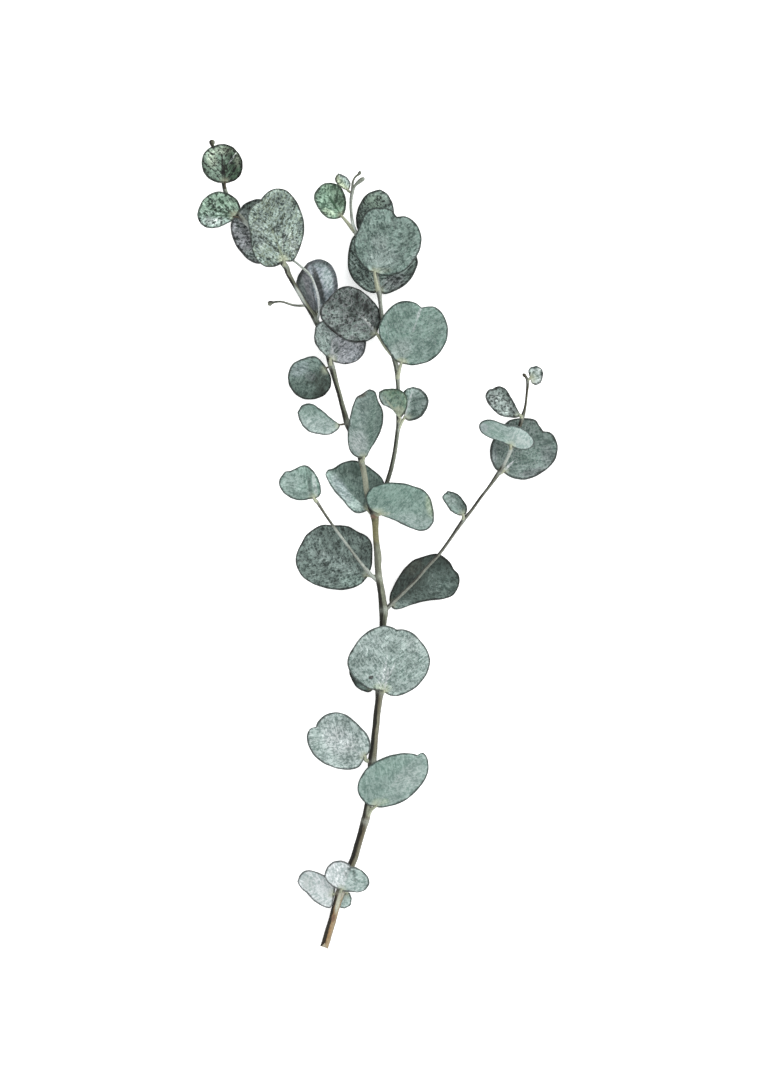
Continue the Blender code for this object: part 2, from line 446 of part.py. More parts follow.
def join_tubes(body, others):
    for other in others:
        join = body.modifiers.new("join", "BOOLEAN")
        join.operation, join.solver, join.object = "UNION", "EXACT", other
        bpy.context.view_layer.objects.active = body
        bpy.ops.object.modifier_apply(modifier=join.name)
        bpy.data.objects.remove(other)


def stem():
    body = tube("stem", MAIN_AND_LEFT, STEM_SIDES)
    others = [tube(f"twig_{i}", route, TWIG_SIDES) for i, route in enumerate(ROUTES[1:])]
    join_tubes(body, others)
    bm = bmesh.new()
    bm.from_mesh(body.data)
    bmesh.ops.triangulate(bm, faces=bm.faces[:])
    bm.to_mesh(body.data)
    bm.free()
    return body


def rim(leaf):
    """Points round the outline from just past the stalk, over the tip and back."""
    base, tip = leaf["base"][:2], leaf["tip"]
    sides = []
    for points in ([base, *leaf["one"], tip], [base, *leaf["two"][::-1], tip]):
        fine = spline(points, 400)
        length = np.linalg.norm(np.diff(fine, axis=0), axis=1).sum()
        first = int(400 * 0.5 * STALK_WIDE / length) + 1
        picks = np.linspace(first, 400, SIDE_STEPS + 1).astype(int)
        sides.append(fine[picks])
    return np.vstack([sides[0], sides[1][-2::-1]])


def soft_floor(height):
    """Heights below the ground's half blade come to lie exactly on it."""
    low = BLADE_THICK / 2
    over = height - low
    if over > FLAT_SOFTNESS:
        return height
    if over < -FLAT_SOFTNESS:
        return low
    return low + (over + FLAT_SOFTNESS) ** 2 / (4 * FLAT_SOFTNESS)


def blade(leaf):
    """The leaf's middle surface as points and triangles, its rim last."""
    base = np.array(leaf["base"][:2])
    axis = np.array(leaf["tip"]) - base
    length = np.linalg.norm(axis)
    axis /= length
    across = np.array((-axis[1], axis[0]))
    outline = rim(leaf)
    count = len(outline)
    centre = base + axis * length / 2
    if np.dot(np.mean(leaf["one"], axis=0) - base, across) < 0:
        across = -across
    half_one = max(np.dot(outline - base, across).max(), 1)
    half_two = max(-np.dot(outline - base, across).min(), 1)
    rise, lift_one, lift_two = leaf["lifts"]

    def height(point, ring, k):
        s = np.dot(point - base, axis) / length
        t = np.dot(point - base, across)
        z = leaf["base"][2] + rise * s + leaf["bow"] * 4 * s * (1 - s)
        z += lift_one * (t / half_one) ** 2 if t > 0 else lift_two * (t / half_two) ** 2
        z += leaf["wave"] * ring ** 2 * math.sin(2 * math.pi * 3 * k / count)
        return soft_floor(z)

    points = [(*centre, height(centre, 0, 0))]
    for ring in RINGS:
        for k, edge in enumerate(outline):
            spot = centre + (edge - centre) * ring
            points.append((*spot, height(spot, ring, k)))
    triangles = [(0, 1 + k, 1 + (k + 1) % count) for k in range(count)]
    for r in range(len(RINGS) - 1):
        for k in range(count):
            a, b = 1 + r * count + k, 1 + r * count + (k + 1) % count
            triangles += [(a, a + count, b + count), (a, b + count, b)]
    points = np.array(points)
    turn = np.cross(points[triangles[0][1]] - points[0], points[triangles[0][2]] - points[0])[2]
    if turn < 0:
        triangles = [t[::-1] for t in triangles]
    return points, triangles, count, turn < 0


def vertex_normals(points, triangles):
    normals = np.zeros_like(points)
    for a, b, c in triangles:
        normal = np.cross(points[b] - points[a], points[c] - points[a])
        for v in (a, b, c):
            normals[v] += normal
    return normals / np.linalg.norm(normals, axis=1)[:, None]


def stalk_ring(point, ahead, wide, thick):
    side = np.cross(ahead, (0, 0, 1))
    if np.linalg.norm(side) < 0.2:
        side = np.array((1.0, 0, 0))
    side /= np.linalg.norm(side)
    up = np.cross(side, ahead)
    return [point + side * wide / 2 + up * thick / 2, point - side * wide / 2 + up * thick / 2,
            point - side * wide / 2 - up * thick / 2, point + side * wide / 2 - up * thick / 2]


def leaf_object(name, leaf, wood):
    """A thin closed blade with its stalk, which ends just short of the wood."""
    middle, triangles, count, flipped = blade(leaf)
    normals = vertex_normals(middle, triangles)
    size = len(middle)
    points = list(middle + normals * BLADE_THICK / 2) + list(middle - normals * BLADE_THICK / 2)
    faces = list(triangles) + [(c + size, b + size, a + size) for a, b, c in triangles]
    rim_start = size - count
    for k in range(count - 1):
        a, b = rim_start + k, rim_start + k + 1
        wall = (a, a + size, b + size, b)
        faces.append(wall[::-1] if flipped else wall)
    first, last = rim_start, rim_start + count - 1
    start = (middle[first] + middle[last]) / 2
    path = [start, *[np.array(p, float) for p in leaf["stalk"]]]
    corners = [last, first, first + size, last + size]
    ahead = path[1] - path[0]
    if np.dot(np.cross(ahead, (0, 0, 1)), np.array(points[last]) - np.array(points[first])) < 0:
        corners = [first, last, last + size, first + size]
    previous = corners
    rings = []
    for i in range(1, len(path)):
        a, b = path[i - 1], path[i]
        ahead = (b - a) / np.linalg.norm(b - a)
        if i < len(path) - 1:
            rings.append(stalk_ring(b, ahead, STALK_WIDE, STALK_THICK))
            continue
        reach = 0.0
        for u in np.arange(0.02, 1, 0.005):
            ring = stalk_ring(a + (b - a) * u, ahead, STALK_WIDE, STALK_THICK)
            if min(distance_to_wood(corner, wood) for corner in ring) < GAP:
                break
            reach = u
        if reach > 0.3:
            rings.append(stalk_ring(a + (b - a) * reach * 0.5, ahead, STALK_WIDE, STALK_THICK))
        rings.append(stalk_ring(a + (b - a) * reach, ahead, STALK_WIDE, STALK_THICK))
    for ring in rings:
        here = list(range(len(points), len(points) + 4))
        points += ring
        for k in range(4):
            faces.append((previous[k], previous[(k + 1) % 4], here[(k + 1) % 4], here[k]))
        previous = here
    faces.append(tuple(previous))
    ob = mesh_object(name, points, faces, leaf["look"])
    bm = bmesh.new()
    bm.from_mesh(ob.data)
    bmesh.ops.recalc_face_normals(bm, faces=bm.faces[:])
    bmesh.ops.triangulate(bm, faces=bm.faces[:])
    bm.to_mesh(ob.data)
    bm.free()
    return ob


clear_scene()
wood = wood_segments()
stem()
for leaf_name, leaf in LEAVES.items():
    leaf_object(leaf_name, leaf, wood)
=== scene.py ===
"""A cut silver-dollar eucalyptus branch lying on a white table, seen from straight above.

The frame has +Z up from the table and +Y from the cut end towards the tips. Sizes are in millimetres
until mesh_piece turns them into metres."""
import math

import bpy
import numpy as np
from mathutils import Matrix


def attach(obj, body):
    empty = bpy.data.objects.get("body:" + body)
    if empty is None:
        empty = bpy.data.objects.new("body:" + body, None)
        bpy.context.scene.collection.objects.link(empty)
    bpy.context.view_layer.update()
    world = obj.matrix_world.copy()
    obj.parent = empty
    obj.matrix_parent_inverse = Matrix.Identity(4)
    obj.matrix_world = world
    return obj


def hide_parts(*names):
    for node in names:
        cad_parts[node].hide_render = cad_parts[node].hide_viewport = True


MM = 0.001

# blades, mm: the source's thickness, half of the finer blade's in its middle and at its rim, how far in
# the rim thins, how softly low parts come to lie on the table, and the side veins and swellings
BLADE_THICK = 0.7
FINE_HALF = 0.24
RIM_HALF = 0.16
RIM_TAPER = 3
FLAT_SOFTNESS = 1.2
VEIN_GAP = 3.6
VEIN_SLANT = 1.1
VEIN_RELIEF = 0.07
SWELLING = 0.1

# how finely curves are drawn between two points, and a blade is cut: steps down each side, rings and
# how much these crowd at the rim
SPLINE_STEP = 0.05
SIDE_STEPS = 56
RING_COUNT = 20
RING_CROWDING = 0.8
OUTLINE_SAMPLES = 800

# how many waves run round a blade's rim, and the height, mm, and number of its outline's two ripples
RIM_WAVES = 3
COARSE_RIPPLE = (0.09, 6)
FINE_RIPPLE = (0.05, 15)

# stalks and midribs, mm: the outline's gap for the stalk, radii at the start and the end of each, and
# how far the stalk runs on into the blade
STALK_WIDE = 1.3
STALK_RADIUS = (1.35, 0.7)
THIN_STALK_RADIUS = (0.6, 0.45)
STALK_INSIDE = 1.2
STALK_STEPS = 12
RIB_RADIUS = (0.42, 0.2)
RIB_STEPS = 22
TUBE_SIDES = 10

# wood, mm: ring spacing, how much wider and further right than the source's, and the reach of joints,
# end buds and the split in the cut end
STEM_STEP = 1.2
STEM_EXTRA = 0.2
STEM_SHIFT = 0.2
THINNEST_WOOD = 0.32
RIDGE = 0.03
JOINT_REACH = 3.2
BUD_REACH = 2.5
NOTCH_DEPTH = 3.2
NOTCH_RINGS = 4
MAIN_SIDES = 20
TWIG_SIDES = 14

# bark ages from 0 at the oldest to 1 at the tips: the main stem's between these two places in y, mm
AGEING = (-215, 25)

# how old and how pale the bark of stalks looks
STALK_AGE = 0.82
STALK_PALENESS = 0.75

# where the measured frame's zero point sits in the branch's own coordinates
MIDDLE = (0.1, 0.4)

# camera, mm
CAMERA_HEIGHT = 4000.0
CAMERA_OVER = (4.3, 2.5, 14.0)
VIEW_LONG_SIDE = 594.0
SENSOR = 36.0

# light and table, m and W
WORLD_LIGHT = 1.22
WINDOW_WATTS = 20.0
WINDOW_SIZE = 1.6
WINDOW_PLACE = (1.2, 0.6, 1.7)
WINDOW_TONE = (1.0, 0.99, 0.97)
TABLE_SIZE = 6.0
TABLE_TONE = (0.94, 0.94, 0.94, 1)
TABLE_GLOW = 0.45
ALBEDO = 0.68

# surfaces: how deep bumps are, m, how many cells a leaf's fine net has in a metre, and how bent they are
BUMP_DEPTH = 0.0003
NET_CELLS = 430.0
NET_WARP = (0.004, 0.004, 0)

# the woody skeleton: points (x, y, height, radius) from the cut end outwards
MAIN_AND_LEFT = [
    (-29.7, -221.8, 2.1, 2.05), (-27, -213, 2.5, 2.05), (-23.5, -200.5, 3.4, 2),
    (-20.8, -191.5, 4.3, 2.3), (-17, -181.5, 5.2, 1.95), (-13, -172, 6, 1.9), (-9.5, -160, 7, 1.85),
    (-6.6, -150, 7.8, 2.1), (-4.6, -139, 8.6, 1.85), (-3.6, -127, 9.2, 1.85), (-3.2, -119, 9.6, 2.2),
    (-2.1, -109, 10, 1.8), (-0.8, -96, 10.5, 1.75), (0.5, -85, 11, 1.8), (1.2, -80, 11.2, 2.2),
    (1.9, -68, 11.6, 1.75), (2.5, -56, 12, 1.75), (2.8, -44, 12.4, 1.75), (3, -36, 12.6, 2.3),
    (2.3, -29, 12.9, 1.95), (0.9, -20, 13.1, 1.75), (0, -12, 13.2, 1.65), (0.1, -6.5, 13.3, 1.85),
    (-0.8, 1, 13.5, 1.55), (-1.3, 9, 13.8, 1.5), (-1.8, 16.5, 14, 2), (-4.4, 22.5, 14.2, 1.4),
    (-6.2, 30, 14.3, 1.3), (-7.3, 38, 14.4, 1.3), (-9, 46, 14.4, 1.5), (-12.5, 57, 14.3, 1.25),
    (-16.8, 67, 14.1, 1.5), (-19.3, 76, 14, 1.2), (-22.3, 87, 13.8, 1.15), (-25.4, 98, 13.6, 1.5),
    (-29.5, 111.5, 13.4, 1.1), (-34, 123.5, 13.2, 1.45), (-40, 133, 13, 1), (-45.5, 142.5, 12.8, 1),
    (-49.3, 149.5, 12.7, 1.25), (-51.2, 154, 12.6, 1.4), (-60, 163.5, 11.6, 0.9),
    (-69.5, 174.5, 11.2, 0.9), (-75.5, 180.3, 11.2, 1.2), (-80.5, 187, 11, 0.75), (-84, 195, 11, 1),
    (-86.5, 206, 10.6, 0.55), (-89.5, 215, 10.6, 0.5), (-91, 220, 10.8, 0.7), (-91.3, 222, 10.9, 1.1),
    (-91.2, 223.2, 10.9, 0.5),
]
RIGHT_LEADER = [
    (-1.6, 13.5, 13.9, 1.1), (1.6, 24, 14.3, 1.1), (5, 34.5, 14.6, 1.05), (8, 45, 14.8, 1.05),
    (9.8, 55, 15, 1), (11.2, 66, 15, 1), (11.6, 71, 15, 1.3), (11.4, 80, 15, 0.95), (10.9, 90, 15, 0.95),
    (10.5, 97, 15, 1.3), (8, 105, 15.1, 0.9), (5, 115, 15.2, 0.9), (2.4, 125, 15.3, 0.9),
    (1.2, 134, 15.3, 0.9), (0.5, 139.5, 15.3, 1.25), (-1, 150, 15, 0.8), (-3.5, 160, 14.5, 0.8),
    (-9, 167.5, 14.2, 0.75), (-12.3, 172, 14, 1), (-14.2, 179, 14, 0.65), (-14.9, 187, 14, 0.6),
    (-14.2, 194, 14, 0.8), (-12.6, 197.8, 14, 0.6), (-9.8, 200.4, 14, 1.1), (-8.2, 201.5, 14, 1),
    (-7.3, 202, 14, 0.4),
]
RIGHT_TWIG = [
    (3.2, -36.5, 12.6, 0.95), (8, -31.7, 12.9, 0.95), (14, -26, 13, 0.8), (20.5, -19.5, 13.1, 0.75),
    (27, -12, 13.1, 0.75), (34, -4.5, 13.2, 0.7), (40.5, 4.5, 13.3, 0.7), (47, 13.8, 13.4, 1),
    (51, 18.5, 13.4, 0.7), (56, 25.5, 13.4, 0.65), (61, 32, 13.4, 0.65), (66.5, 39.8, 13.4, 1),
    (70.5, 46.5, 13.3, 0.65), (73.2, 52.8, 13.2, 0.9), (76, 60, 13.1, 0.6), (79.4, 70, 13, 0.95),
    (81, 76, 13.2, 0.55), (82, 84, 13.4, 0.5), (82.4, 90, 13.6, 0.75), (81.5, 92.5, 13.8, 0.5),
    (80.5, 93.7, 13.9, 0.75), (79.7, 94.3, 13.9, 0.35),
]
LEFT_TWIG = [
    (0.6, -20.5, 13, 0.85), (-4, -16, 13, 0.9), (-10, -9, 13.2, 0.6), (-17.5, 1, 13.6, 0.55),
    (-24.5, 10.5, 14, 0.55), (-30, 18.5, 14.5, 0.55), (-33.4, 23.8, 14.8, 0.7),
]
BARE_TWIG = [
    (-39.3, 131.8, 13, 0.5), (-46, 132, 13, 0.45), (-53, 134, 13, 0.4), (-58, 133.5, 13, 0.5),
    (-59.5, 133, 13, 0.85), (-60.6, 132.8, 13, 0.4),
]
THIN_TWIG = [
    (-33.8, 122.8, 13.3, 0.5), (-32.3, 128, 14.3, 0.5), (-32.6, 135, 14.6, 0.5), (-34.3, 142, 14.4, 0.45),
    (-37.3, 148.5, 13.6, 0.45), (-42.5, 153.6, 12, 0.45), (-47, 157, 10.4, 0.45), (-51, 159.5, 9, 0.75),
]
SHOOT_FORK = [
    (-14.2, 193.5, 14, 0.5), (-13.9, 199, 14.6, 0.45), (-12.6, 202.3, 14.9, 0.4),
    (-10.6, 203.9, 15, 0.45), (-9.9, 204.9, 15, 0.8), (-9.6, 205.7, 15, 0.4),
]

# each route's points, its paleness at its start and its end, its age at the end, its end bud's swelling
ROUTES = [
    (MAIN_AND_LEFT, (0, 0), 0.84, 1.35), (RIGHT_LEADER, (0, 0.5), 0.8, 1),
    (RIGHT_TWIG, (0.3, 0), 1, 1.1), (LEFT_TWIG, (0.8, 0), 0.95, 1), (BARE_TWIG, (0.4, 0.1), 0.93, 1.5),
    (THIN_TWIG, (1, 0.8), 0.8, 1), (SHOOT_FORK, (0.4, 0.2), 0.95, 1.1),
]

# Each leaf: its slot, its base and its stalk's points down to the wood (x, y, height), then its outline
# seen from above as one side, tip and the other side, how far tip, side one and side two stand above the
# base, its bow and its wave. Then its look: the tones of its two halves, partly the leaf's own colour and
# partly painted shade on a half turned from the light, and how softly they meet, how strong the mottling
# is, how light the blade, how wide its dark margin, the midrib's tone, reach and strength and where it
# starts, and the spots: x, y, half width, half height, turn, tone and strength. A few spots are painted
# shade, as said where they stand.
LEAVES = {
    "low_left": dict(
        slot="pale", base=(-23.7, -192.4, 4.2), stalk=[(-20.8, -191.5, 4.3)],
        one=[(-23.5, -188.3), (-26.4, -183.8), (-30.5, -181.3), (-35, -179.6), (-39.3, -179.3),
            (-42.6, -181.3)],
        tip=(-44.2, -185.3), two=[(-42.3, -189), (-38.3, -192.7), (-34.8, -196.3), (-30.3, -199),
            (-26, -199.9), (-24.6, -196.8)],
        lifts=(-2, 0.4, 0.6), bow=1, wave=0.4, tones=("frost", "frost"), mottle=0.22, light=0.94,
        rib=("snow", 0.5, 0.3),
        spots=[(-31, -187, 6, 4, -20, "snow", 0.4), (-38, -186, 3, 5, 0, "mist", 0.5)]),
    "low_front": dict(
        slot="pale", base=(-20.1, -190, 8.9), stalk=[(-20.9, -191.8, 4.3)],
        one=[(-24.6, -188), (-28.2, -184.3), (-28.9, -179.8), (-26.8, -175.6), (-23, -173.5),
            (-18.8, -173.3), (-15.9, -174.8)],
        tip=(-14.6, -176.6), two=[(-12, -176.9), (-8, -179), (-5.3, -182.3), (-4.4, -186), (-6.3, -189.3),
            (-10, -190.9), (-14.5, -190.9), (-18, -190.8)],
        lifts=(9, 1, -1.5), bow=1, wave=0.5, tones=("frost", "haze"), meet=0.12, mottle=0.3, light=0.96,
        rib=("snow", 0.9, 0.4),
        spots=[(-23, -180, 5, 6, 20, "snow", 0.4), (-9, -182, 4, 5, 0, "sage", 0.45),
            (-15.6, -177.9, 1.5, 0.8, -50, "night", 0.75), (-17.3, -181, 0.8, 2.2, 20, "dusk", 0.6),
            (-12.9, -180.2, 0.9, 2, 10, "night", 0.6), (-12.3, -184, 1.7, 1.2, 0, "slate", 0.6)]),
    "low_back": dict(
        slot="pale", base=(-17, -191.3, 2.2), stalk=[(-20.8, -191.5, 4.3)],
        one=[(-15.3, -192), (-14.3, -195), (-14.9, -198.6)],
        tip=(-17.8, -200.4), two=[(-20.8, -199.9), (-21.7, -196.5), (-19.6, -192.9)],
        lifts=(-6, 0, -0.5), tones=("haze", "haze"), mottle=0.3, light=1.12, rib=("snow", 0.5, 0.2),
        spots=[(-16, -195, 3, 3, 0, "sage", 0.5)]),
    "lower_right": dict(
        slot="sage", base=(-1.2, -143.9, 11.6), stalk=[(-3.5, -145.8, 10.2), (-7, -152, 7.6)],
        one=[(-5, -143), (-8.4, -140.2), (-10.7, -136.3), (-11, -132.5), (-9, -127), (-5, -121.6),
            (0, -118.3), (6, -115.8), (13, -114.2), (19, -114.4)],
        tip=(21.8, -115.4), two=[(25, -114), (27.4, -117), (28.2, -121), (27.4, -126), (24, -132),
            (19, -137.5), (13, -141.5), (7, -143.6), (2, -144.4)],
        lifts=(4, 1.6, 1.2), bow=1.6, wave=0.5, tones=("sage", "ash"), mottle=0.24, light=0.88,
        rib=("mist", 0.7, 0.35),
        spots=[(17, -128, 9, 6, 35, "mist", 0.35), (-3, -129, 6, 8, -20, "sage", 0.5),
            (6, -122, 9, 5, 20, "leafy", 0.5), (2, -141, 5, 2, 0, "lime", 0.4)]),
    "lower_left": dict(
        slot="pale", base=(-6.6, -116.4, 11.5), stalk=[(-6.5, -118.3, 11), (-3.2, -119, 9.6)],
        one=[(-4.4, -113.6), (-3.8, -109.5), (-5, -105), (-9, -100.3), (-15, -94.5), (-20, -92.2),
            (-26, -92.2), (-30.5, -94.3), (-33, -97.2)],
        tip=(-33.9, -99.9), two=[(-37, -101), (-39, -105), (-38, -110.5), (-34.5, -116), (-29, -120.3),
            (-22, -122.8), (-15, -123.5), (-10.5, -122.3), (-8.4, -119.5)],
        lifts=(0.5, 2.4, 1), bow=1, wave=0.8, tones=("haze", "haze"), meet=0.6, mottle=0.4, light=0.82,
        rib=("snow", 0.6, 0.2),
        spots=[(-22, -107, 10, 7, -25, "frost", 0.6), (-14, -99, 9, 3.5, -35, "slate", 0.4),
            (-33, -107, 3.5, 8, 10, "sage", 0.45), (-12, -112, 4, 5, 0, "mist", 0.5)]),
    "middle_round": dict(
        slot="pale", base=(3.4, -80.7, 14.9), stalk=[(1.4, -80.4, 11.2)],
        one=[(0.5, -79.7), (-4, -79), (-8.5, -77), (-12.3, -74), (-14.7, -70.3), (-16.6, -65),
            (-15.6, -60), (-12, -54), (-7.5, -49), (-2, -45.5), (3.5, -44), (8, -44.8)],
        tip=(10.5, -46.3), two=[(15, -46.4), (20, -48.6), (24.7, -53.6), (27.9, -59), (28.9, -64.5),
            (27.3, -70.5), (23.3, -76), (18, -80.2), (12, -82.8), (7.5, -82.8)],
        lifts=(3, 1.2, 0.6), bow=1.6, wave=0.9, tones=("ash", "ash"), meet=0.6, mottle=0.42, light=0.8,
        rib=("snow", 0.5, 0.5),
        spots=[(-4, -55, 9, 7, 0, "haze", 0.4), (15, -66, 10, 9, 0, "sage", 0.5),
            (-11, -66, 4, 8, 0, "slate", 0.3), (20, -54, 6, 5, 0, "mist", 0.3),
            (3, -73, 3, 7, -8, "mist", 0.5), (2.5, -78.5, 5, 3, 0, "lime", 0.55),
            (3.8, -69, 0.6, 9, -11, "snow", 0.55), (0.6, -74, 0.5, 4, 19, "snow", 0.5),
            (7.3, -70, 0.5, 7.5, -24, "snow", 0.45), (-3.6, -72.6, 1.5, 1, 20, "soot", 1)]),
    "middle_round_back": dict(
        slot="dark", base=(-2, -79.3, 9.6), stalk=[(1.2, -80, 11.2)], thin_stalk=True,
        one=[(-5, -81), (-9.2, -79.8), (-12.8, -76.6), (-15.2, -71.5), (-15.6, -66)],
        tip=(-14, -62.5), two=[(-9, -61), (-4, -66), (-2, -73)],
        lifts=(-3, -1, 0.5), bow=0.5, wave=0.3, tones=("night", "night"), mottle=0.3,
        rib=("dusk", 0.5, 0.2),
        spots=[(-9, -78, 3, 2, 0, "ash", 0.6)]),
    "fork_right": dict(
        slot="dark", base=(6.9, -33.2, 9.6), stalk=[(3, -35.6, 12.6)],
        one=[(6.6, -29), (8, -24), (11, -18.3), (15.3, -12.3), (20, -8), (26, -6), (32, -4.6), (36.3, -6),
            (40, -9.3)],
        tip=(42.2, -13.4), two=[(44.7, -16.2), (45.4, -20), (43.8, -25), (40.5, -28.3), (34, -30),
            (27, -30.8), (20, -32.4), (13, -35), (9.3, -35.3)],
        lifts=(-14, 1.2, 1.2), bow=0.5, wave=0.5, tones=("night", "dusk"), meet=0.3, mottle=0.5,
        light=0.66, margin=1.2, rib=("slate", 0.7, 0.3),
        spots=[(34, -19, 9, 7, 30, "slate", 0.6), (36, -25, 7, 4, 20, "sage", 0.35),
            (16, -19, 7, 8, 45, "soot", 0.35), (20, -12, 6, 4, 40, "umber", 0.4),
            (12, -33, 7, 2.5, 8, "ash", 0.55)]),
    "fork_left": dict(
        slot="dark", base=(-5, -16.7, 9.6), stalk=[(0.4, -17.5, 13.1)],
        one=[(-3.2, -11), (-2.7, -4), (-3.3, 1.5), (-6, 5), (-11, 7.6), (-15.5, 10.3), (-20, 11.2),
            (-25, 11), (-30, 11.3), (-35, 9.2), (-39.2, 6), (-41.7, 1.8)],
        tip=(-43.4, -1.5), two=[(-45.2, -7), (-44.6, -12), (-42, -16.7), (-37, -20.5), (-30, -23.4),
            (-22, -24.6), (-15, -24), (-9.3, -21.6), (-6.6, -18.7)],
        lifts=(-18, 1.5, 1), wave=0.5, tones=("dusk", "slate"), mottle=0.68, light=0.8,
        rib=("ash", 0.75, 0.4),
        spots=[(-26, -8, 14, 3.5, -25, "ash", 0.42), (-6, -2, 4, 9, 0, "night", 0.8),
            (-20, 7, 14, 3.5, 0, "night", 0.6), (-14, -20, 8, 3, 10, "leafy", 0.5),
            (-35, 3, 5, 5, 0, "sage", 0.35), (-36, -15, 8, 4, 30, "dusk", 0.5)]),
    "left_twig_tip": dict(
        slot="sage", base=(-34.8, 25.6, 15.3), stalk=[(-33.4, 23.8, 14.8)],
        one=[(-32.3, 26.8), (-31, 30), (-32.3, 35.5), (-35.3, 41), (-39.5, 43.9), (-43.2, 43.3),
            (-46, 41.8)],
        tip=(-48, 40.9), two=[(-51, 40.2), (-53.9, 36.3), (-53.9, 33), (-51.5, 28.7), (-47, 25.7),
            (-41.5, 24.6), (-37, 25.4)],
        lifts=(2, -5, 1), bow=1, wave=0.5, tones=("leafy", "sage"), meet=0.4, mottle=0.34, light=0.88,
        rib=("mist", 0.4, 0.3),
        spots=[(-34.5, 33, 1.2, 7, 10, "mist", 0.7), (-37, 32, 1.2, 7, 10, "dusk", 0.6),
            (-46, 36, 6, 5, 0, "ash", 0.4), (-42, 27, 7, 2, 0, "slate", 0.3)]),
    "centre_right": dict(
        slot="sage", base=(0.9, 17, 17.3), stalk=[(-1.5, 16.6, 14)],
        one=[(-3.3, 19.3), (-6.2, 23.5), (-6.1, 28), (-3, 32), (3, 34), (9, 34.6), (15, 34), (20, 32.4),
            (25.5, 30.3), (28.8, 26.5), (30.2, 22.5)],
        tip=(30.9, 18), two=[(30.8, 12.8), (28, 9), (23.5, 7.9), (17, 9.8), (10, 13.4), (5, 15.3)],
        lifts=(2, 1, -1.5), bow=1.2, wave=0.5, tones=("leafy", "ash"), meet=0.6, mottle=0.26, light=0.8,
        rib=("mist", 0.4, 0.3),
        spots=[(29, 22, 2.6, 7, 5, "lime", 0.55), (4, 27, 8, 5, 10, "leafy", 0.5),
            (20, 14, 9, 4, -10, "haze", 0.45), (24, 17, 5, 4, 0, "deep", 0.4),
            (4, 17, 3, 1.2, 15, "straw", 0.4)]),
    "centre_left": dict(
        slot="dark", base=(-5.2, 19.4, 10.9), stalk=[(-2.2, 16.4, 14)],
        one=[(-1, 21.5), (2.5, 26.5), (4, 32), (3, 36), (0, 39.5), (-5, 43.5), (-10, 46), (-15, 46.7),
            (-20.5, 45), (-24.5, 42.4)],
        tip=(-27.3, 41.6), two=[(-28.6, 39), (-26.5, 34), (-23, 29), (-19, 24.5), (-15, 20),
            (-11.5, 17.6), (-8, 18)],
        lifts=(-5, -1, 2.4), bow=-0.5, wave=0.3, tones=("dusk", "ash"), meet=0.14, mottle=0.36,
        light=1.34, rib=("night", 0.9, 0.5),
        spots=[(-12, 42, 9, 5, 10, "night", 0.7), (-20, 31, 3, 9, 35, "steel", 0.5),
            (1, 34, 4, 5, 20, "night", 0.4), (-5, 24, 2.5, 6, -30, "night", 0.6)]),
    "rolled": dict(
        slot="sage", base=(-7.6, 47.7, 18.2), stalk=[(-9, 45.6, 14.4)],
        one=[(-10.6, 48.2), (-13.3, 49.6), (-15.6, 53), (-16.3, 58.5), (-16, 65), (-14.9, 71.5),
            (-13.3, 77), (-11.6, 81.2), (-8.5, 83.3), (-6.2, 84.8)],
        tip=(-4.3, 85.7), two=[(-1.6, 84.6), (-0.4, 82), (0.6, 78.8), (2.5, 75), (3.1, 70), (2.4, 64.5),
            (0.3, 59.7), (-2.2, 55.3), (-4.5, 51.5), (-5.8, 48.8)],
        lifts=(1, -3.5, -3.5), bow=3.5, wave=0.2, tones=("ash", "deep"), meet=0.4, mottle=0.3, light=0.68,
        rib=("mist", 0.3, 0.2),
        spots=[(-10, 56, 5, 7, 15, "frost", 0.5), (-6, 78, 5, 5, 0, "slate", 0.4),
            (0, 67, 2.5, 11, -8, "slate", 0.45), (-8.5, 82.6, 3, 1.4, 25, "rust", 0.5),
            (-12, 70, 3, 8, 0, "leafy", 0.4), (-7, 50.5, 3, 2.5, 0, "haze", 0.5)]),
    "left_side": dict(
        slot="sage", base=(-20.5, 66.3, 14.7), stalk=[(-17, 67, 14.1)], thin_stalk=True,
        one=[(-23.3, 68.2), (-27, 71.2), (-31, 74.5), (-35, 77.3), (-38.7, 77.8), (-42, 76.6)],
        tip=(-44, 73), two=[(-43, 69), (-41, 65.3), (-37.3, 62.4), (-32.5, 61), (-27, 60.8),
            (-23.3, 62.3), (-21.2, 64.4)],
        lifts=(1, 3, -1), bow=0.8, wave=0.3, tones=("sage", "haze"), meet=0.7, mottle=0.26, light=0.84,
        rib=("mist", 0.5, 0.2),
        spots=[(-31, 66, 9, 4, -10, "haze", 0.4), (-38, 74, 5, 3, 20, "leafy", 0.4)]),
    "left_dark_round": dict(
        slot="dark", base=(-28.1, 97.6, 12.4), stalk=[(-25.5, 98.3, 13.6)], thin_stalk=True,
        one=[(-26, 93.5), (-25.3, 89.5), (-26.6, 85.5), (-30.5, 81.9), (-36, 80.2), (-41, 80.8),
            (-45.5, 83.5), (-48.6, 87.8)],
        tip=(-49.3, 92), two=[(-48.8, 96), (-46.8, 99.8), (-41, 102.8), (-36, 104), (-32.6, 103),
            (-29.8, 100.3)],
        lifts=(-6, -2, 1.5), bow=1.5, wave=0.4, tones=("night", "slate"), meet=1, mottle=0.42, light=1.22,
        rib=("slate", 0.4, 0.1),
        # the first spot, soot at the lower right, is painted shade
        spots=[(-32, 88, 7, 8, -30, "soot", 0.65), (-37, 93, 3, 2.5, 0, "plum", 0.4),
            (-43, 97, 6, 4, 30, "steel", 0.35), (-39, 86, 6, 3, 0, "dusk", 0.5)]),
    "left_cross_low": dict(
        slot="pale", base=(-25.9, 101.6, 17), stalk=[(-25.6, 98.8, 13.6)],
        one=[(-28.8, 104.3), (-32.3, 107.8), (-34.7, 112.5), (-34.6, 117.5), (-33.2, 121.3),
            (-29.5, 123.5)],
        tip=(-24, 123.8), two=[(-17, 122), (-10, 118.5), (-6.8, 113.5), (-6.4, 109.5), (-8, 104.8),
            (-12, 101.2), (-17.5, 99.5), (-22.5, 100.3)],
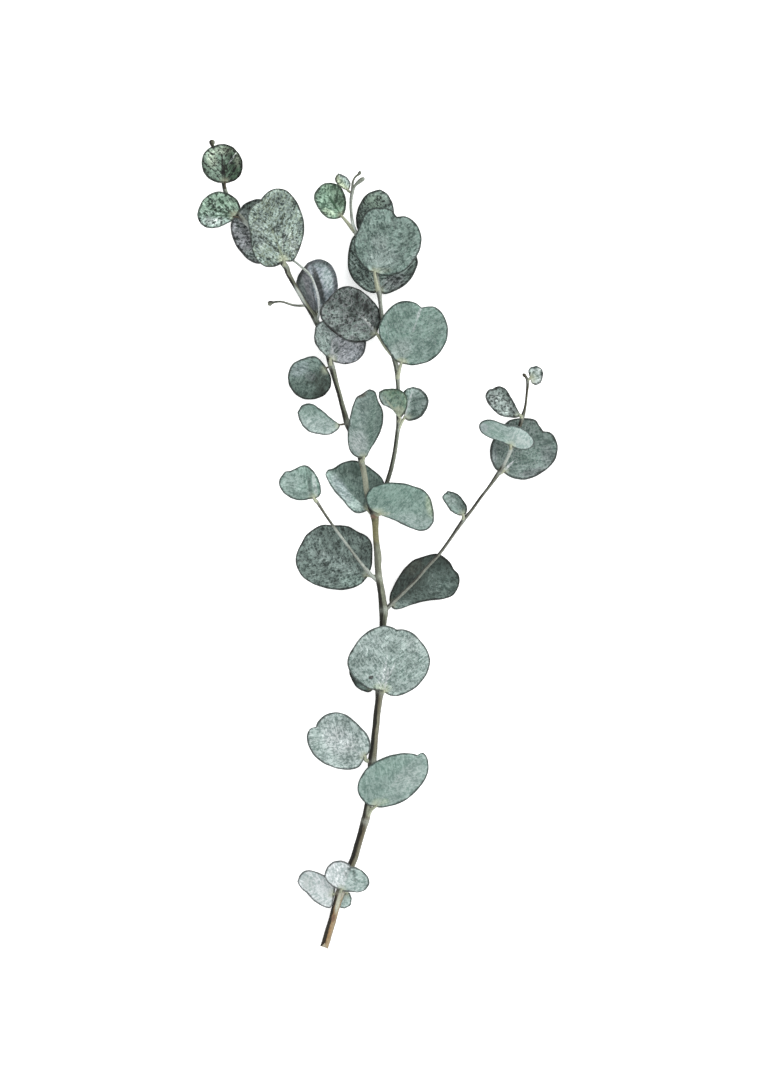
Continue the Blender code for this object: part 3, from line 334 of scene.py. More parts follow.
        lifts=(0.4, 0.6, -7.5), bow=0.4, wave=0.3, tones=("ash", "lilac"), meet=0.3, mottle=0.56,
        light=0.62, rib=("snow", 0.6, 0.5),
        spots=[(-29, 109, 4, 8, 10, "leafy", 0.5), (-13, 106, 5, 5, 0, "steel", 0.5),
            (-10, 114, 3, 5, 0, "plum", 0.5), (-22.5, 106, 1, 7, -5, "dusk", 0.6),
            (-24.6, 106, 0.6, 5, 5, "snow", 0.6)]),
    "left_cross_high": dict(
        slot="dark", base=(-0.2, 116.2, 13), stalk=[(4.2, 109.6, 13.6), (8, 105, 15.1)],
        one=[(0.5, 119.3), (1.8, 123.5), (1.7, 128), (-1, 132.5), (-5, 137), (-10, 140.5), (-15.5, 142.4),
            (-19, 142)],
        tip=(-22, 140.5), two=[(-27.5, 135), (-31.3, 130), (-31, 125), (-28, 120.6), (-24, 116.8),
            (-19, 113.6), (-13, 111.6), (-7, 111.8), (-3, 113.7)],
        lifts=(7.5, -1.5, 3.6), wave=0.3, tones=("dusk", "slate"), mottle=0.82, light=0.52,
        rib=("snow", 0.5, 1),
        spots=[(-12, 131, 10, 7, 20, "night", 0.6), (-25, 124, 5, 6, -30, "sage", 0.45),
            (-12, 116, 9, 3, -15, "leafy", 0.4), (-1, 124, 3, 6, 10, "night", 0.5),
            (-4.2, 121.4, 0.6, 6.3, 42, "chalk", 0.85)]),
    "right_leader_round": dict(
        slot="sage", base=(13, 99.8, 17.4), stalk=[(11.9, 96.3, 16.2), (10.9, 91.5, 15)],
        one=[(9.8, 101.5), (7.2, 105), (4.3, 109.2), (1.6, 113.5), (0.7, 118), (1.3, 122.3), (3.6, 126.8),
            (7, 130.5), (11.5, 133.5), (16.8, 134.3), (21, 133.1)],
        tip=(24.2, 130.6), two=[(27.5, 131.1), (31.8, 130.9), (35.3, 128), (37.7, 123.5), (38.7, 117.5),
            (37.7, 111.5), (34.5, 106), (30, 102), (24.5, 99.7), (19, 98.8), (15.5, 99.4)],
        lifts=(2.5, 0.8, 0.8), bow=1.4, wave=0.8, tones=("leafy", "leafy"), meet=0.6, mottle=0.32,
        light=0.74, rib=("snow", 1.1, 0.4), rib_start=0.62,
        spots=[(12, 107, 8, 5, 30, "mist", 0.5), (27, 108, 8, 6, 0, "sage", 0.4),
            (30, 121, 6, 7, 0, "deep", 0.35), (10, 123, 6, 6, 0, "deep", 0.35),
            (22.8, 127.5, 0.8, 4.5, -20, "frost", 0.5), (13, 101, 4, 2, 0, "straw", 0.6)]),
    "right_leader_low": dict(
        slot="sage", base=(12.5, 69.6, 17.2), stalk=[(11.5, 67.5, 15)],
        one=[(9.6, 73.4), (6, 75.8), (3, 77.2), (1.5, 79.5), (0.7, 81.8)],
        tip=(0.9, 84.2), two=[(4, 85.8), (9, 86.1), (13, 85), (16, 82.3), (16.4, 78), (15.4, 73.3)],
        lifts=(3, 1.5, 1), bow=0.8, wave=0.2, tones=("ash", "fern"), meet=0.4, mottle=0.4, light=0.66,
        rib=("straw", 0.9, 0.5),
        spots=[(4, 80, 3, 4, 30, "sage", 0.4), (11, 79, 3, 5, -20, "deep", 0.5),
            (12, 74.5, 3, 2, 0, "straw", 0.6)]),
    "right_leader_low_back": dict(
        slot="dark", base=(14.6, 69.7, 14.8), stalk=[(13.2, 67.6, 14.8), (11.3, 63.5, 15)],
        one=[(15, 74), (14.8, 79), (14.2, 83.5), (16.2, 86.2)],
        tip=(19.5, 87.1), two=[(24, 85.8), (27, 82.7), (28, 79), (27, 74.7), (24, 70.7), (20, 68.6),
            (17, 68.4)],
        lifts=(0.5, -1, 2), bow=0.5, wave=0.3, tones=("sage", "slate"), meet=0.3, mottle=0.4, light=1.04,
        margin=1.4, rib=("snow", 0.95, 0.7),
        spots=[(22, 81, 4, 5, 0, "slate", 0.6), (25, 76, 2, 5, -10, "dusk", 0.6),
            (20, 71, 5, 1.6, 0, "dusk", 0.5)]),
    "top_round": dict(
        slot="sage", base=(-1.6, 149.7, 17.8), stalk=[(-0.6, 144, 17), (0.5, 139.5, 15.3)],
        one=[(-4.5, 150.5), (-8.5, 153.8), (-11.6, 158), (-12.7, 163), (-12.7, 168), (-11.2, 172.5),
            (-9.4, 177), (-7, 181.8), (-3.5, 184.8), (2, 185.4), (7, 184.6)],
        tip=(10.6, 180.4), two=[(15, 180.6), (19, 178.9), (22.6, 174.6), (24.1, 169), (23.5, 163),
            (21, 157.5), (17, 152.6), (12, 149.6), (6.5, 148), (2, 148.2)],
        lifts=(3, 0.5, 1), bow=1.4, wave=0.8, tones=("leafy", "leafy"), meet=0.6, mottle=0.5, light=0.62,
        rib=("mist", 0.35, 0.3),
        spots=[(3, 158, 9, 6, 10, "haze", 0.5), (18, 168, 5, 9, 5, "deep", 0.45),
            # the dusk spot by the notch at the top, at (9.5, 177), is a painted shadow
            (-6, 174, 5, 6, -20, "deep", 0.4), (9.5, 177, 1.6, 4, 15, "dusk", 0.6),
            (1, 167, 5, 4, 0, "mist", 0.3), (2, 151, 6, 1.6, 0, "straw", 0.3),
            (20.6, 159.3, 1.2, 7, -29, "haze", 0.5)]),
    "top_back": dict(
        slot="dark", base=(0.8, 139.4, 12), stalk=[(0.5, 139, 15.3)],
        one=[(-3, 138.8), (-8, 141), (-12.5, 145), (-15.5, 150.3), (-16.5, 156), (-16.2, 162),
            (-14.8, 167.5), (-12, 171.5), (-5, 173)],
        tip=(3, 172), two=[(12, 170), (19, 164), (22.2, 157.5), (21.3, 152), (17.5, 145.7), (12, 141.2),
            (6.5, 138.7), (3.5, 138.2)],
        lifts=(-22, 1.5, 1.5), wave=0.4, tones=("dusk", "dusk"), mottle=0.78, light=1.36, margin=1.3,
        rib=("night", 0.5, 0.3),
        spots=[(9.5, 145.5, 8, 5, 20, "plum", 0.6), (-13, 160, 3, 9, 0, "slate", 0.35),
            (-8, 146, 5, 4, 0, "dusk", 0.5), (18, 150, 3, 6, -30, "night", 0.6)]),
    "top_high": dict(
        slot="dark", base=(-3.6, 165.4, 12.4), stalk=[(-3.7, 160.5, 14.5)],
        one=[(-7.5, 167), (-10.3, 171.5), (-11.8, 178), (-11.3, 184), (-9, 189), (-6, 193), (-2, 195)],
        tip=(1.5, 195.6), two=[(5, 193.6), (7.6, 190), (8.8, 186), (8.8, 180), (6.5, 172), (1.5, 166.5)],
        lifts=(3, -1, -0.5), wave=0.5, tones=("night", "slate"), meet=0.8, mottle=0.85, light=1.2,
        margin=1.4, rib=("night", 0.6, 0.4),
        spots=[(-8.5, 174, 3, 6, -10, "soot", 0.6), (0, 189, 7, 5, 0, "moss", 0.5),
            (5, 187, 3, 4, 0, "dusk", 0.5)]),
    "shoot_left": dict(
        slot="fresh", base=(-19.4, 180.7, 14.5), stalk=[(-16.2, 177, 14.2), (-12.5, 172.3, 14)],
        one=[(-22, 179.6), (-26, 179.3), (-29.6, 181.5), (-33, 185.7), (-34.8, 190.5), (-34.1, 194.5)],
        tip=(-31, 198), two=[(-27.5, 199.3), (-23.5, 198.9), (-20.3, 196.8), (-18, 193), (-17.2, 188),
            (-17.8, 183.5)],
        lifts=(2.5, 1, 1), bow=0.8, wave=0.4, tones=("fern", "moss"), mottle=0.62, light=1.22, margin=1.4,
        rib=("pine", 0.75, 0.85),
        spots=[(-30, 190, 4, 6, 20, "fern", 0.5), (-22, 187, 3, 6, -20, "pine", 0.45),
            (-26, 196, 5, 2, 0, "moss", 0.5), (-27, 183, 4, 2, -20, "lime", 0.35)]),
    "shoot_bud_leaf": dict(
        slot="pale", base=(-16.2, 195.1, 13.4), stalk=[(-14.2, 193.8, 14)],
        one=[(-19.3, 196.2), (-22.8, 199.4), (-23.2, 202.6)],
        tip=(-21.6, 204.5), two=[(-19, 203.7), (-16.4, 201.8), (-15, 199.6), (-15, 197)],
        lifts=(1.5, 0.6, 0.6), bow=0.4, tones=("lime", "ash"), meet=0.3, mottle=0.6, light=1.1,
        rib=("pine", 0.7, 0.6),
        spots=[(-19, 200, 2, 3, 30, "moss", 0.4)]),
    "folded_purple": dict(
        slot="dark", base=(-33.2, 126.6, 10.6), stalk=[(-34, 123.8, 13.2)],
        one=[(-36.3, 127.8), (-40, 132), (-43.4, 138), (-44.9, 143), (-43.8, 148), (-41.7, 151.8)],
        tip=(-38.6, 155.3), two=[(-33.5, 157.5), (-28.5, 156.7), (-24.8, 153.3), (-22.4, 147.5),
            (-21.8, 142), (-23.2, 135.5), (-26.5, 130), (-30, 127)],
        lifts=(-1.5, -3.5, 1.6), bow=1.2, wave=0.3, tones=("plum", "steel"), meet=0.16, mottle=0.34,
        light=1.32, margin=2.5, rib=("soot", 0.9, 0.6),
        # the first spot, a soot band beside the midrib, is painted shade in the fold
        spots=[(-32.4, 143, 1.9, 12, 17, "soot", 0.85), (-27.5, 147, 3, 7, 12, "haze", 0.4),
            (-42, 143, 2, 8, 15, "dusk", 0.4), (-30, 155, 6, 2, 0, "dusk", 0.5)]),
    "upper_left": dict(
        slot="sage", base=(-51.3, 156.1, 16), stalk=[(-51.1, 153.6, 12.6)],
        one=[(-54, 154.2), (-58, 152.8), (-62, 153.2), (-65.7, 156), (-68.3, 160.5), (-69.8, 166),
            (-70.2, 172), (-71.3, 178), (-70.8, 183), (-68, 187.3)],
        tip=(-64.3, 189.6), two=[(-62.3, 192.3), (-59, 195), (-54.5, 196.2), (-50, 195), (-46, 191),
            (-43, 186), (-40.8, 180), (-40.1, 174.5), (-41, 168.5), (-43.3, 161.5), (-46.3, 156.3)],
        lifts=(2.5, 0.6, 1), bow=1.6, wave=0.8, tones=("sage", "sage"), meet=0.6, mottle=0.75, light=0.7,
        rib=("lime", 0.6, 0.6),
        spots=[(-55, 188, 9, 5, 0, "slate", 0.4), (-65, 170, 4, 9, 0, "haze", 0.35),
            (-46, 165, 3, 7, 25, "mist", 0.4), (-56, 176, 5, 6, 0, "dusk", 0.25),
            (-52, 157, 2.6, 3.5, 20, "lime", 0.8), (-59, 156, 5, 2, 0, "leafy", 0.4),
            (-54.5, 165.2, 0.45, 8, 19, "night", 0.7), (-55.8, 162.8, 0.4, 4.5, 53, "night", 0.6),
            (-56.4, 172.5, 0.4, 4.5, 45, "night", 0.5), (-51.6, 168, 0.4, 7, -8, "frost", 0.5)]),
    "upper_left_back": dict(
        slot="dark", base=(-54.5, 161, 8.2), stalk=[(-51, 159.5, 9)],
        one=[(-58, 156.5), (-65, 155), (-70, 156.6), (-74, 160), (-78, 165), (-80, 170), (-81.1, 175.5),
            (-80, 180.5)],
        tip=(-76, 185.3), two=[(-73.8, 188), (-69.5, 190.4), (-64.5, 191), (-59.5, 187), (-55, 178),
            (-52.5, 168)],
        lifts=(-15, 1, 1), wave=0.4, tones=("plum", "dusk"), meet=0.7, mottle=0.8, light=1.66, margin=1.5,
        rib=("night", 0.5, 0.4),
        spots=[(-76, 170, 4, 6, 0, "lilac", 0.3), (-70, 160, 5, 3, -20, "slate", 0.5),
            (-69, 186.5, 6, 4, 0, "soot", 0.6), (-66, 158, 5, 2.2, 0, "soot", 0.5),
            (-79, 174, 1.8, 6, -10, "lilac", 0.5)]),
    "left_end": dict(
        slot="fresh", base=(-78.4, 180.7, 13.7), stalk=[(-75.6, 180.4, 11.2)], thin_stalk=True,
        one=[(-80.3, 178.3), (-83.7, 176.3), (-88, 174.7), (-92, 174.2), (-95.6, 175.5), (-98.3, 178.2)],
        tip=(-99.2, 181.8), two=[(-98, 186), (-96.3, 189.6), (-93, 192.5), (-88.5, 194.4), (-84, 194.2),
            (-80, 192.3), (-76.6, 189), (-75.4, 184.7)],
        lifts=(1, 0.8, 0.6), bow=0.8, wave=0.4, tones=("leafy", "fern"), mottle=0.8, light=0.98,
        margin=1.2, rib=("pine", 0.7, 0.8),
        spots=[(-90, 178, 6, 2.5, -5, "mist", 0.45), (-80, 190, 4, 3, 0, "moss", 0.5),
            (-94, 187, 3, 4, 0, "fern", 0.5), (-79, 183, 3, 3, 0, "moss", 0.5),
            (-86, 183.5, 8, 0.6, -12, "pine", 0.85), (-84, 187, 4, 0.5, -50, "pine", 0.6),
            (-88, 181, 4, 0.4, 25, "pine", 0.5)]),
    "left_end_tip": dict(
        slot="fresh", base=(-83.8, 199, 13.8), stalk=[(-84, 195.2, 11)], thin_stalk=True,
        one=[(-88, 199.5), (-91.7, 200.8), (-94.9, 204), (-96.7, 209), (-96.1, 214), (-93, 218),
            (-88.5, 220.2)],
        tip=(-84.5, 220.7), two=[(-79.5, 219), (-76, 215), (-74, 210), (-74.8, 204.7), (-77.6, 201.1),
            (-81, 199.6)],
        lifts=(2, 0.8, 0.8), bow=0.8, wave=0.4, tones=("fern", "pine"), mottle=0.87, light=0.82,
        margin=1.3, rib=("soot", 0.7, 0.9),
        spots=[(-80, 206, 4.5, 6, 0, "pine", 0.75), (-91, 212, 3, 5, 10, "lime", 0.35),
            (-86, 217, 6, 2.5, 0, "lime", 0.3), (-94, 206, 2, 5, -15, "pine", 0.5),
            (-77, 213, 2, 5, 0, "lime", 0.25), (-85.2, 208, 0.7, 8, 2, "soot", 0.85),
            (-79.5, 213, 0.5, 4, -35, "frost", 0.5)]),
    "right_twig_low": dict(
        slot="sage", base=(47.2, 16.2, 15.4), stalk=[(47, 13.8, 13.4)],
        one=[(44, 16.6), (40.5, 18.7), (37.6, 22.5), (35.6, 26.8)],
        tip=(38.5, 29.9), two=[(43, 28.8), (46.6, 25.5), (49, 21.5), (49.1, 18)],
        lifts=(1.5, 0.6, 1.2), bow=0.5, wave=0.2, tones=("sage", "slate"), mottle=0.36, light=0.8,
        rib=("mist", 0.5, 0.3),
        spots=[(47.5, 21, 1.6, 4, 10, "dusk", 0.6), (40, 25, 3, 3, 0, "mist", 0.3)]),
    "right_end_edge": dict(
        slot="pale", base=(73.3, 54.4, 15.8), stalk=[(73.2, 52.6, 13.2)],
        one=[(70.5, 55.7), (66, 57.4), (61, 59.4), (57.2, 61.8), (55.5, 65), (57.3, 68), (62, 68.9),
            (66.5, 67.6)],
        tip=(70.8, 66), two=[(74.5, 66.3), (78.5, 64.9), (82.3, 62.3), (85.3, 59.3), (86.5, 56.4),
            (84.8, 53.9), (81, 52.7), (77, 53.1)],
        lifts=(8, -1, -1.5), tones=("ash", "haze"), meet=0.4, mottle=0.2, light=0.9,
        rib=("mist", 0.8, 0.2),
        spots=[(58, 64.5, 3, 2.6, 0, "lilac", 0.5), (79, 58, 6, 3, -25, "mist", 0.5),
            (66, 61, 5, 1.6, -15, "leafy", 0.5)]),
    "right_end_round": dict(
        slot="dark", base=(69, 40.5, 9.6), stalk=[(66.8, 39.8, 13.4)],
        one=[(65.7, 41.3), (63.3, 44.8), (61.8, 50), (62.6, 55.5), (65.3, 61), (69, 65.5), (72.5, 68.9),
            (77, 69.9), (82.5, 70.2), (87.3, 69.2), (89.2, 66.3)],
        tip=(91.5, 62.9), two=[(95, 62.4), (98, 59.5), (99.5, 55), (99, 50), (97, 45.6), (93, 41.5),
            (88, 38.4), (82, 36.3), (76, 36.5), (71.6, 38.4)],
        lifts=(-14, 2, 0.5), bow=-0.5, wave=0.5, tones=("dusk", "slate"), meet=0.6, mottle=0.36,
        light=0.96, margin=1.2, rib=("snow", 0.35, 0.95),
        spots=[(72, 66, 6, 3, 10, "night", 0.6), (64, 50, 2, 7, 0, "lilac", 0.3),
            (69, 46, 3, 4, 0, "dusk", 0.5), (92, 56, 6, 6, 0, "slate", 0.5),
            (86, 40, 9, 2.5, 12, "plum", 0.5), (84, 50, 6, 5, 0, "deep", 0.4),
            (95, 48, 4, 9, 15, "plum", 0.35)]),
    "right_end_upper": dict(
        slot="sage", base=(78.9, 71.1, 14.2), stalk=[(79.4, 70, 13)],
        one=[(76, 70.1), (71, 70.3), (67, 71.7), (63, 74.9), (60, 79.3), (59.3, 83), (61.2, 85.6)],
        tip=(63.2, 86), two=[(66.5, 87.5), (70, 86.2), (72.7, 82.6), (74.8, 79), (76.6, 75.6), (78, 73)],
        lifts=(2.5, 1, 1.4), bow=0.6, wave=0.3, tones=("ash", "slate"), mottle=0.76, light=0.74,
        margin=1.4, rib=("mist", 0.6, 0.5),
        spots=[(75, 75, 2, 4, -45, "night", 0.6), (64, 80, 3, 4, -30, "mist", 0.35),
            (71, 83, 4, 2, -40, "dusk", 0.5)]),
    "right_end_tip": dict(
        slot="pale", base=(83.9, 92, 14.5), stalk=[(82.4, 90, 13.6)],
        one=[(84.9, 89.2), (87, 88.1), (90, 89.8), (91, 93.5), (90.3, 97)],
        tip=(87.5, 98.7), two=[(84.6, 98), (83, 96.4), (83.2, 94)],
        lifts=(1.5, 0.8, 0.4), bow=0.4, wave=0.2, tones=("mist", "haze"), meet=0.4, mottle=0.55,
        light=0.74, rib=("moss", 0.6, 0.4),
        spots=[(87, 93, 2, 3, 0, "leafy", 0.4), (90, 94, 1, 3, 0, "dusk", 0.4)]),
}

# what a leaf has where its row doesn't say
USUAL = dict(bow=0, wave=0, meet=0.5, light=1, margin=1, rib_start=0, thin_stalk=False)

# tones as seen in soft white light, in 8-bit sRGB
TONES = {
    "snow": (222, 228, 230), "frost": (204, 211, 212), "mist": (190, 202, 199), "haze": (172, 190, 186),
    "ash": (155, 176, 170), "sage": (140, 165, 157), "leafy": (128, 158, 147), "deep": (116, 143, 132),
    "slate": (104, 125, 118), "dusk": (88, 107, 100), "night": (64, 80, 73), "fern": (114, 149, 126),
    "moss": (96, 124, 102), "pine": (45, 76, 52), "lime": (186, 202, 168), "lilac": (152, 157, 164),
    "plum": (102, 104, 108), "steel": (144, 153, 161), "straw": (201, 208, 180), "rust": (128, 100, 84),
    "cream": (206, 208, 188), "chalk": (224, 235, 227), "tan": (172, 140, 100), "bark": (112, 104, 84),
    "olive": (142, 138, 98), "twig": (102, 108, 92), "beige": (172, 177, 157), "umber": (74, 66, 52),
    "soot": (24, 24, 17),
}

# patches on the bark, written as the leaves' spots are
BARK_SPOTS = [
    (0.9, -10, 3, 13, 3, "beige", 0.35), (0, 9, 4, 8, 0, "olive", 0.7),
    (-2.2, 15.8, 3, 1.2, 0, "rust", 0.7), (-21.8, -197, 1.1, 6, -13, "cream", 0.95),
    (-24.3, -205.5, 1.1, 2.2, -15, "rust", 0.8), (-4.6, -145, 1.5, 4, -15, "beige", 0.8),
    (-42.5, 137.5, 1, 6, 30, "chalk", 0.6), (-71, 176, 2, 4, 45, "chalk", 0.6),
    (-6.3, 34, 3, 11, 12, "beige", 0.75), (71.5, 48.5, 2, 6, -25, "chalk", 0.55),
    (-33.2, 138, 1.6, 13, 5, "snow", 0.65), (-3.4, -113, 1.5, 7, -8, "soot", 0.65),
    (-13.2, -168, 2, 7, -20, "soot", 0.55), (2.6, -43, 1.8, 4.5, -5, "soot", 0.65),
    (6.6, 36, 1.3, 8, -15, "soot", 0.6), (-21, 5, 1.3, 8, 38, "chalk", 0.5),
    (-12, 200.5, 5, 5, 0, "twig", 0.55), (-13.2, 175.5, 1.5, 4, 10, "chalk", 0.7),
]


def linear(tone):
    """A named tone as linear light, made darker by ALBEDO because the table is lit past white."""
    out = []
    for value in TONES[tone]:
        v = value / 255
        v = v / 12.92 if v <= 0.04045 else ((v + 0.055) / 1.055) ** 2.4
        out.append(v * ALBEDO)
    return (*out, 1.0)


def spline(points, steps):
    """A smooth curve through the points, as steps + 1 points evenly spaced along its length."""
    pts = np.array(points, float)
    ends = np.vstack([2 * pts[0] - pts[1], pts, 2 * pts[-1] - pts[-2]])
    fine = []
    for i in range(1, len(ends) - 2):
        p0, p1, p2, p3 = ends[i - 1:i + 3]
        for u in np.arange(0, 1, SPLINE_STEP):
            fine.append(0.5 * (2 * p1 + (p2 - p0) * u + (2 * p0 - 5 * p1 + 4 * p2 - p3) * u ** 2
                               + (3 * p1 - p0 - 3 * p2 + p3) * u ** 3))
    fine = np.array(fine + [pts[-1]])
    along = np.concatenate([[0], np.cumsum(np.linalg.norm(np.diff(fine, axis=0), axis=1))])
    wanted = np.linspace(0, along[-1], steps + 1)
    return np.stack([np.interp(wanted, along, fine[:, k]) for k in range(fine.shape[1])], axis=1)


def length_of(points):
    return np.linalg.norm(np.diff(points, axis=0), axis=1).sum()


def mesh_piece(name, points, faces, materials, picks, uvs, fields):
    """A smooth mesh object in the row frame, with a map named leaf and fields of numbers on its points."""
    shift = np.array((*MIDDLE, 0))
    mesh = bpy.data.meshes.new(name)
    mesh.from_pydata(((np.array(points) - shift) * MM).tolist(), [], faces)
    for material in materials:
        mesh.materials.append(material)
    mesh.polygons.foreach_set("material_index", picks)
    mesh.polygons.foreach_set("use_smooth", [True] * len(faces))
    corner = np.empty(len(mesh.loops), dtype=np.int32)
    mesh.loops.foreach_get("vertex_index", corner)
    mesh.uv_layers.new(name="leaf").uv.foreach_set("vector", np.array(uvs, dtype=np.float32)[corner].ravel())
    for field, values in fields.items():
        made = mesh.attributes.new(field, "FLOAT", "POINT")
        made.data.foreach_set("value", np.array(values, dtype=np.float32))
    mesh.update()
    ob = bpy.data.objects.new(name, mesh)
    bpy.context.scene.collection.objects.link(ob)
    return ob


class Nodes:
    """Short names for making a material's nodes."""

    def __init__(self, name):
        self.material = bpy.data.materials.new(name)
        self.material.use_nodes = True
        self.tree = self.material.node_tree
        self.shader = self.tree.nodes["Principled BSDF"]
        self.place = self.node("TexCoord").outputs["Object"]

    def plug(self, value, socket):
        if isinstance(value, bpy.types.NodeSocket):
            self.tree.links.new(value, socket)
        elif socket.type == "VECTOR":
            socket.default_value = value[:3]
        else:
            socket.default_value = value

    def node(self, kind, settings=None, **inputs):
        """A node with its settings, and its inputs by name, or by place as i0, i1."""
        made = self.tree.nodes.new("ShaderNode" + kind)
        for key, value in (settings or {}).items():
            setattr(made, key, value)
        for key, value in inputs.items():
            self.plug(value, made.inputs[int(key[1:]) if key[1:].isdigit() else key.replace("_", " ")])
        return made

    def calc(self, operation, a, b=0.0):
        return self.node("Math", {"operation": operation}, i0=a, i1=b).outputs[0]

    def add(self, a, b):
        return self.calc("ADD", a, b)

    def less(self, a, b):
        return self.calc("SUBTRACT", a, b)

    def times(self, a, b):
        return self.calc("MULTIPLY", a, b)

    def ramp(self, value, low, high, to_low=0.0, to_high=1.0):
        """A smooth step from to_low to to_high as the value goes from low to high."""
        made = self.node("MapRange", {"interpolation_type": "SMOOTHSTEP"}, Value=value, From_Min=low,
                         From_Max=high, To_Min=to_low, To_Max=to_high)
        return made.outputs["Result"]

    def fade(self, value, low, high):
        return self.ramp(value, low, high, 1.0, 0.0)

    def around(self, value, amount):
        """A noise's swing about its middle, from -amount / 2 to amount / 2."""
        return self.times(self.less(value, 0.5), amount)

    def mix(self, factor, a, b):
        """Colour a with factor of b over it, which is a colour or the name of a tone."""
        made = self.node("Mix", {"data_type": "RGBA"})
        self.plug(factor, made.inputs[0])
        self.plug(a, made.inputs[6])
        self.plug(linear(b) if isinstance(b, str) else b, made.inputs[7])
        return made.outputs[2]

    def bright(self, colour, amount):
        return self.node("VectorMath", {"operation": "SCALE"}, i0=colour, Scale=amount).outputs[0]

    def tint(self, colour, amounts):
        return self.node("VectorMath", {"operation": "MULTIPLY"}, i0=colour, i1=amounts).outputs[0]

    def washed(self, colour, saturation, amount):
        return self.node("HueSaturation", Color=colour, Saturation=saturation, Value=amount).outputs[0]

    def vector(self, x, y, z=0.0):
        return self.node("CombineXYZ", i0=x, i1=y, i2=z).outputs[0]

    def split(self, vector):
        made = self.node("SeparateXYZ", Vector=vector)
        return made.outputs[0], made.outputs[1]

    def mapped(self):
        """The two numbers of the map named leaf."""
        return self.split(self.node("UVMap", {"uv_map": "leaf"}).outputs[0])

    def field(self, name):
        return self.node("Attribute", {"attribute_name": name}).outputs["Fac"]

    def noise(self, grain, seed, detail, rough, twist=0.0, place=None):
        """Noise between 0 and 1 with features of about grain mm, or of that size in another place."""
        moved = self.node("VectorMath", {"operation": "ADD"}, i0=place or self.place,
                          i1=(0.371 * seed, 0.213 * seed, 0.117 * seed)).outputs[0]
        scale = 1 / grain if place else 1 / (grain * MM)
        return self.node("TexNoise", Vector=moved, Scale=scale, Detail=detail, Roughness=rough,
                         Distortion=twist).outputs[0]

    def spotted(self, colour, spots, noise):
        """The colour with soft ovals on it, made ragged by a noise."""
        wobble = self.around(noise, 1.3)
        for x, y, wide, high, turn, tone, strength in spots:
            centre = ((x - MIDDLE[0]) * MM, (y - MIDDLE[1]) * MM, 0)
            laid = self.node("Mapping", {"vector_type": "TEXTURE"}, Vector=self.place, Location=centre,
                             Rotation=(0, 0, math.radians(turn)), Scale=(wide * MM, high * MM, 1))
            far = self.node("VectorMath", {"operation": "LENGTH"}, i0=laid.outputs[0]).outputs["Value"]
            mask = self.fade(self.add(far, self.times(wobble, min(1.0, wide / 4))), 0.55, 1.35)
            colour = self.mix(self.times(mask, strength), colour, tone)
        return colour

    def finish(self, colour, roughness, specular, bumps=0.0, height=None):
        """The material with this colour and surface, and bumps where a height is given."""
        self.plug(colour, self.shader.inputs["Base Color"])
        self.plug(roughness, self.shader.inputs["Roughness"])
        self.plug(specular, self.shader.inputs["Specular IOR Level"])
        if height:
            bump = self.node("Bump", Strength=bumps, Distance=BUMP_DEPTH, Height=height)
            self.plug(bump.outputs[0], self.shader.inputs["Normal"])
        return self.material


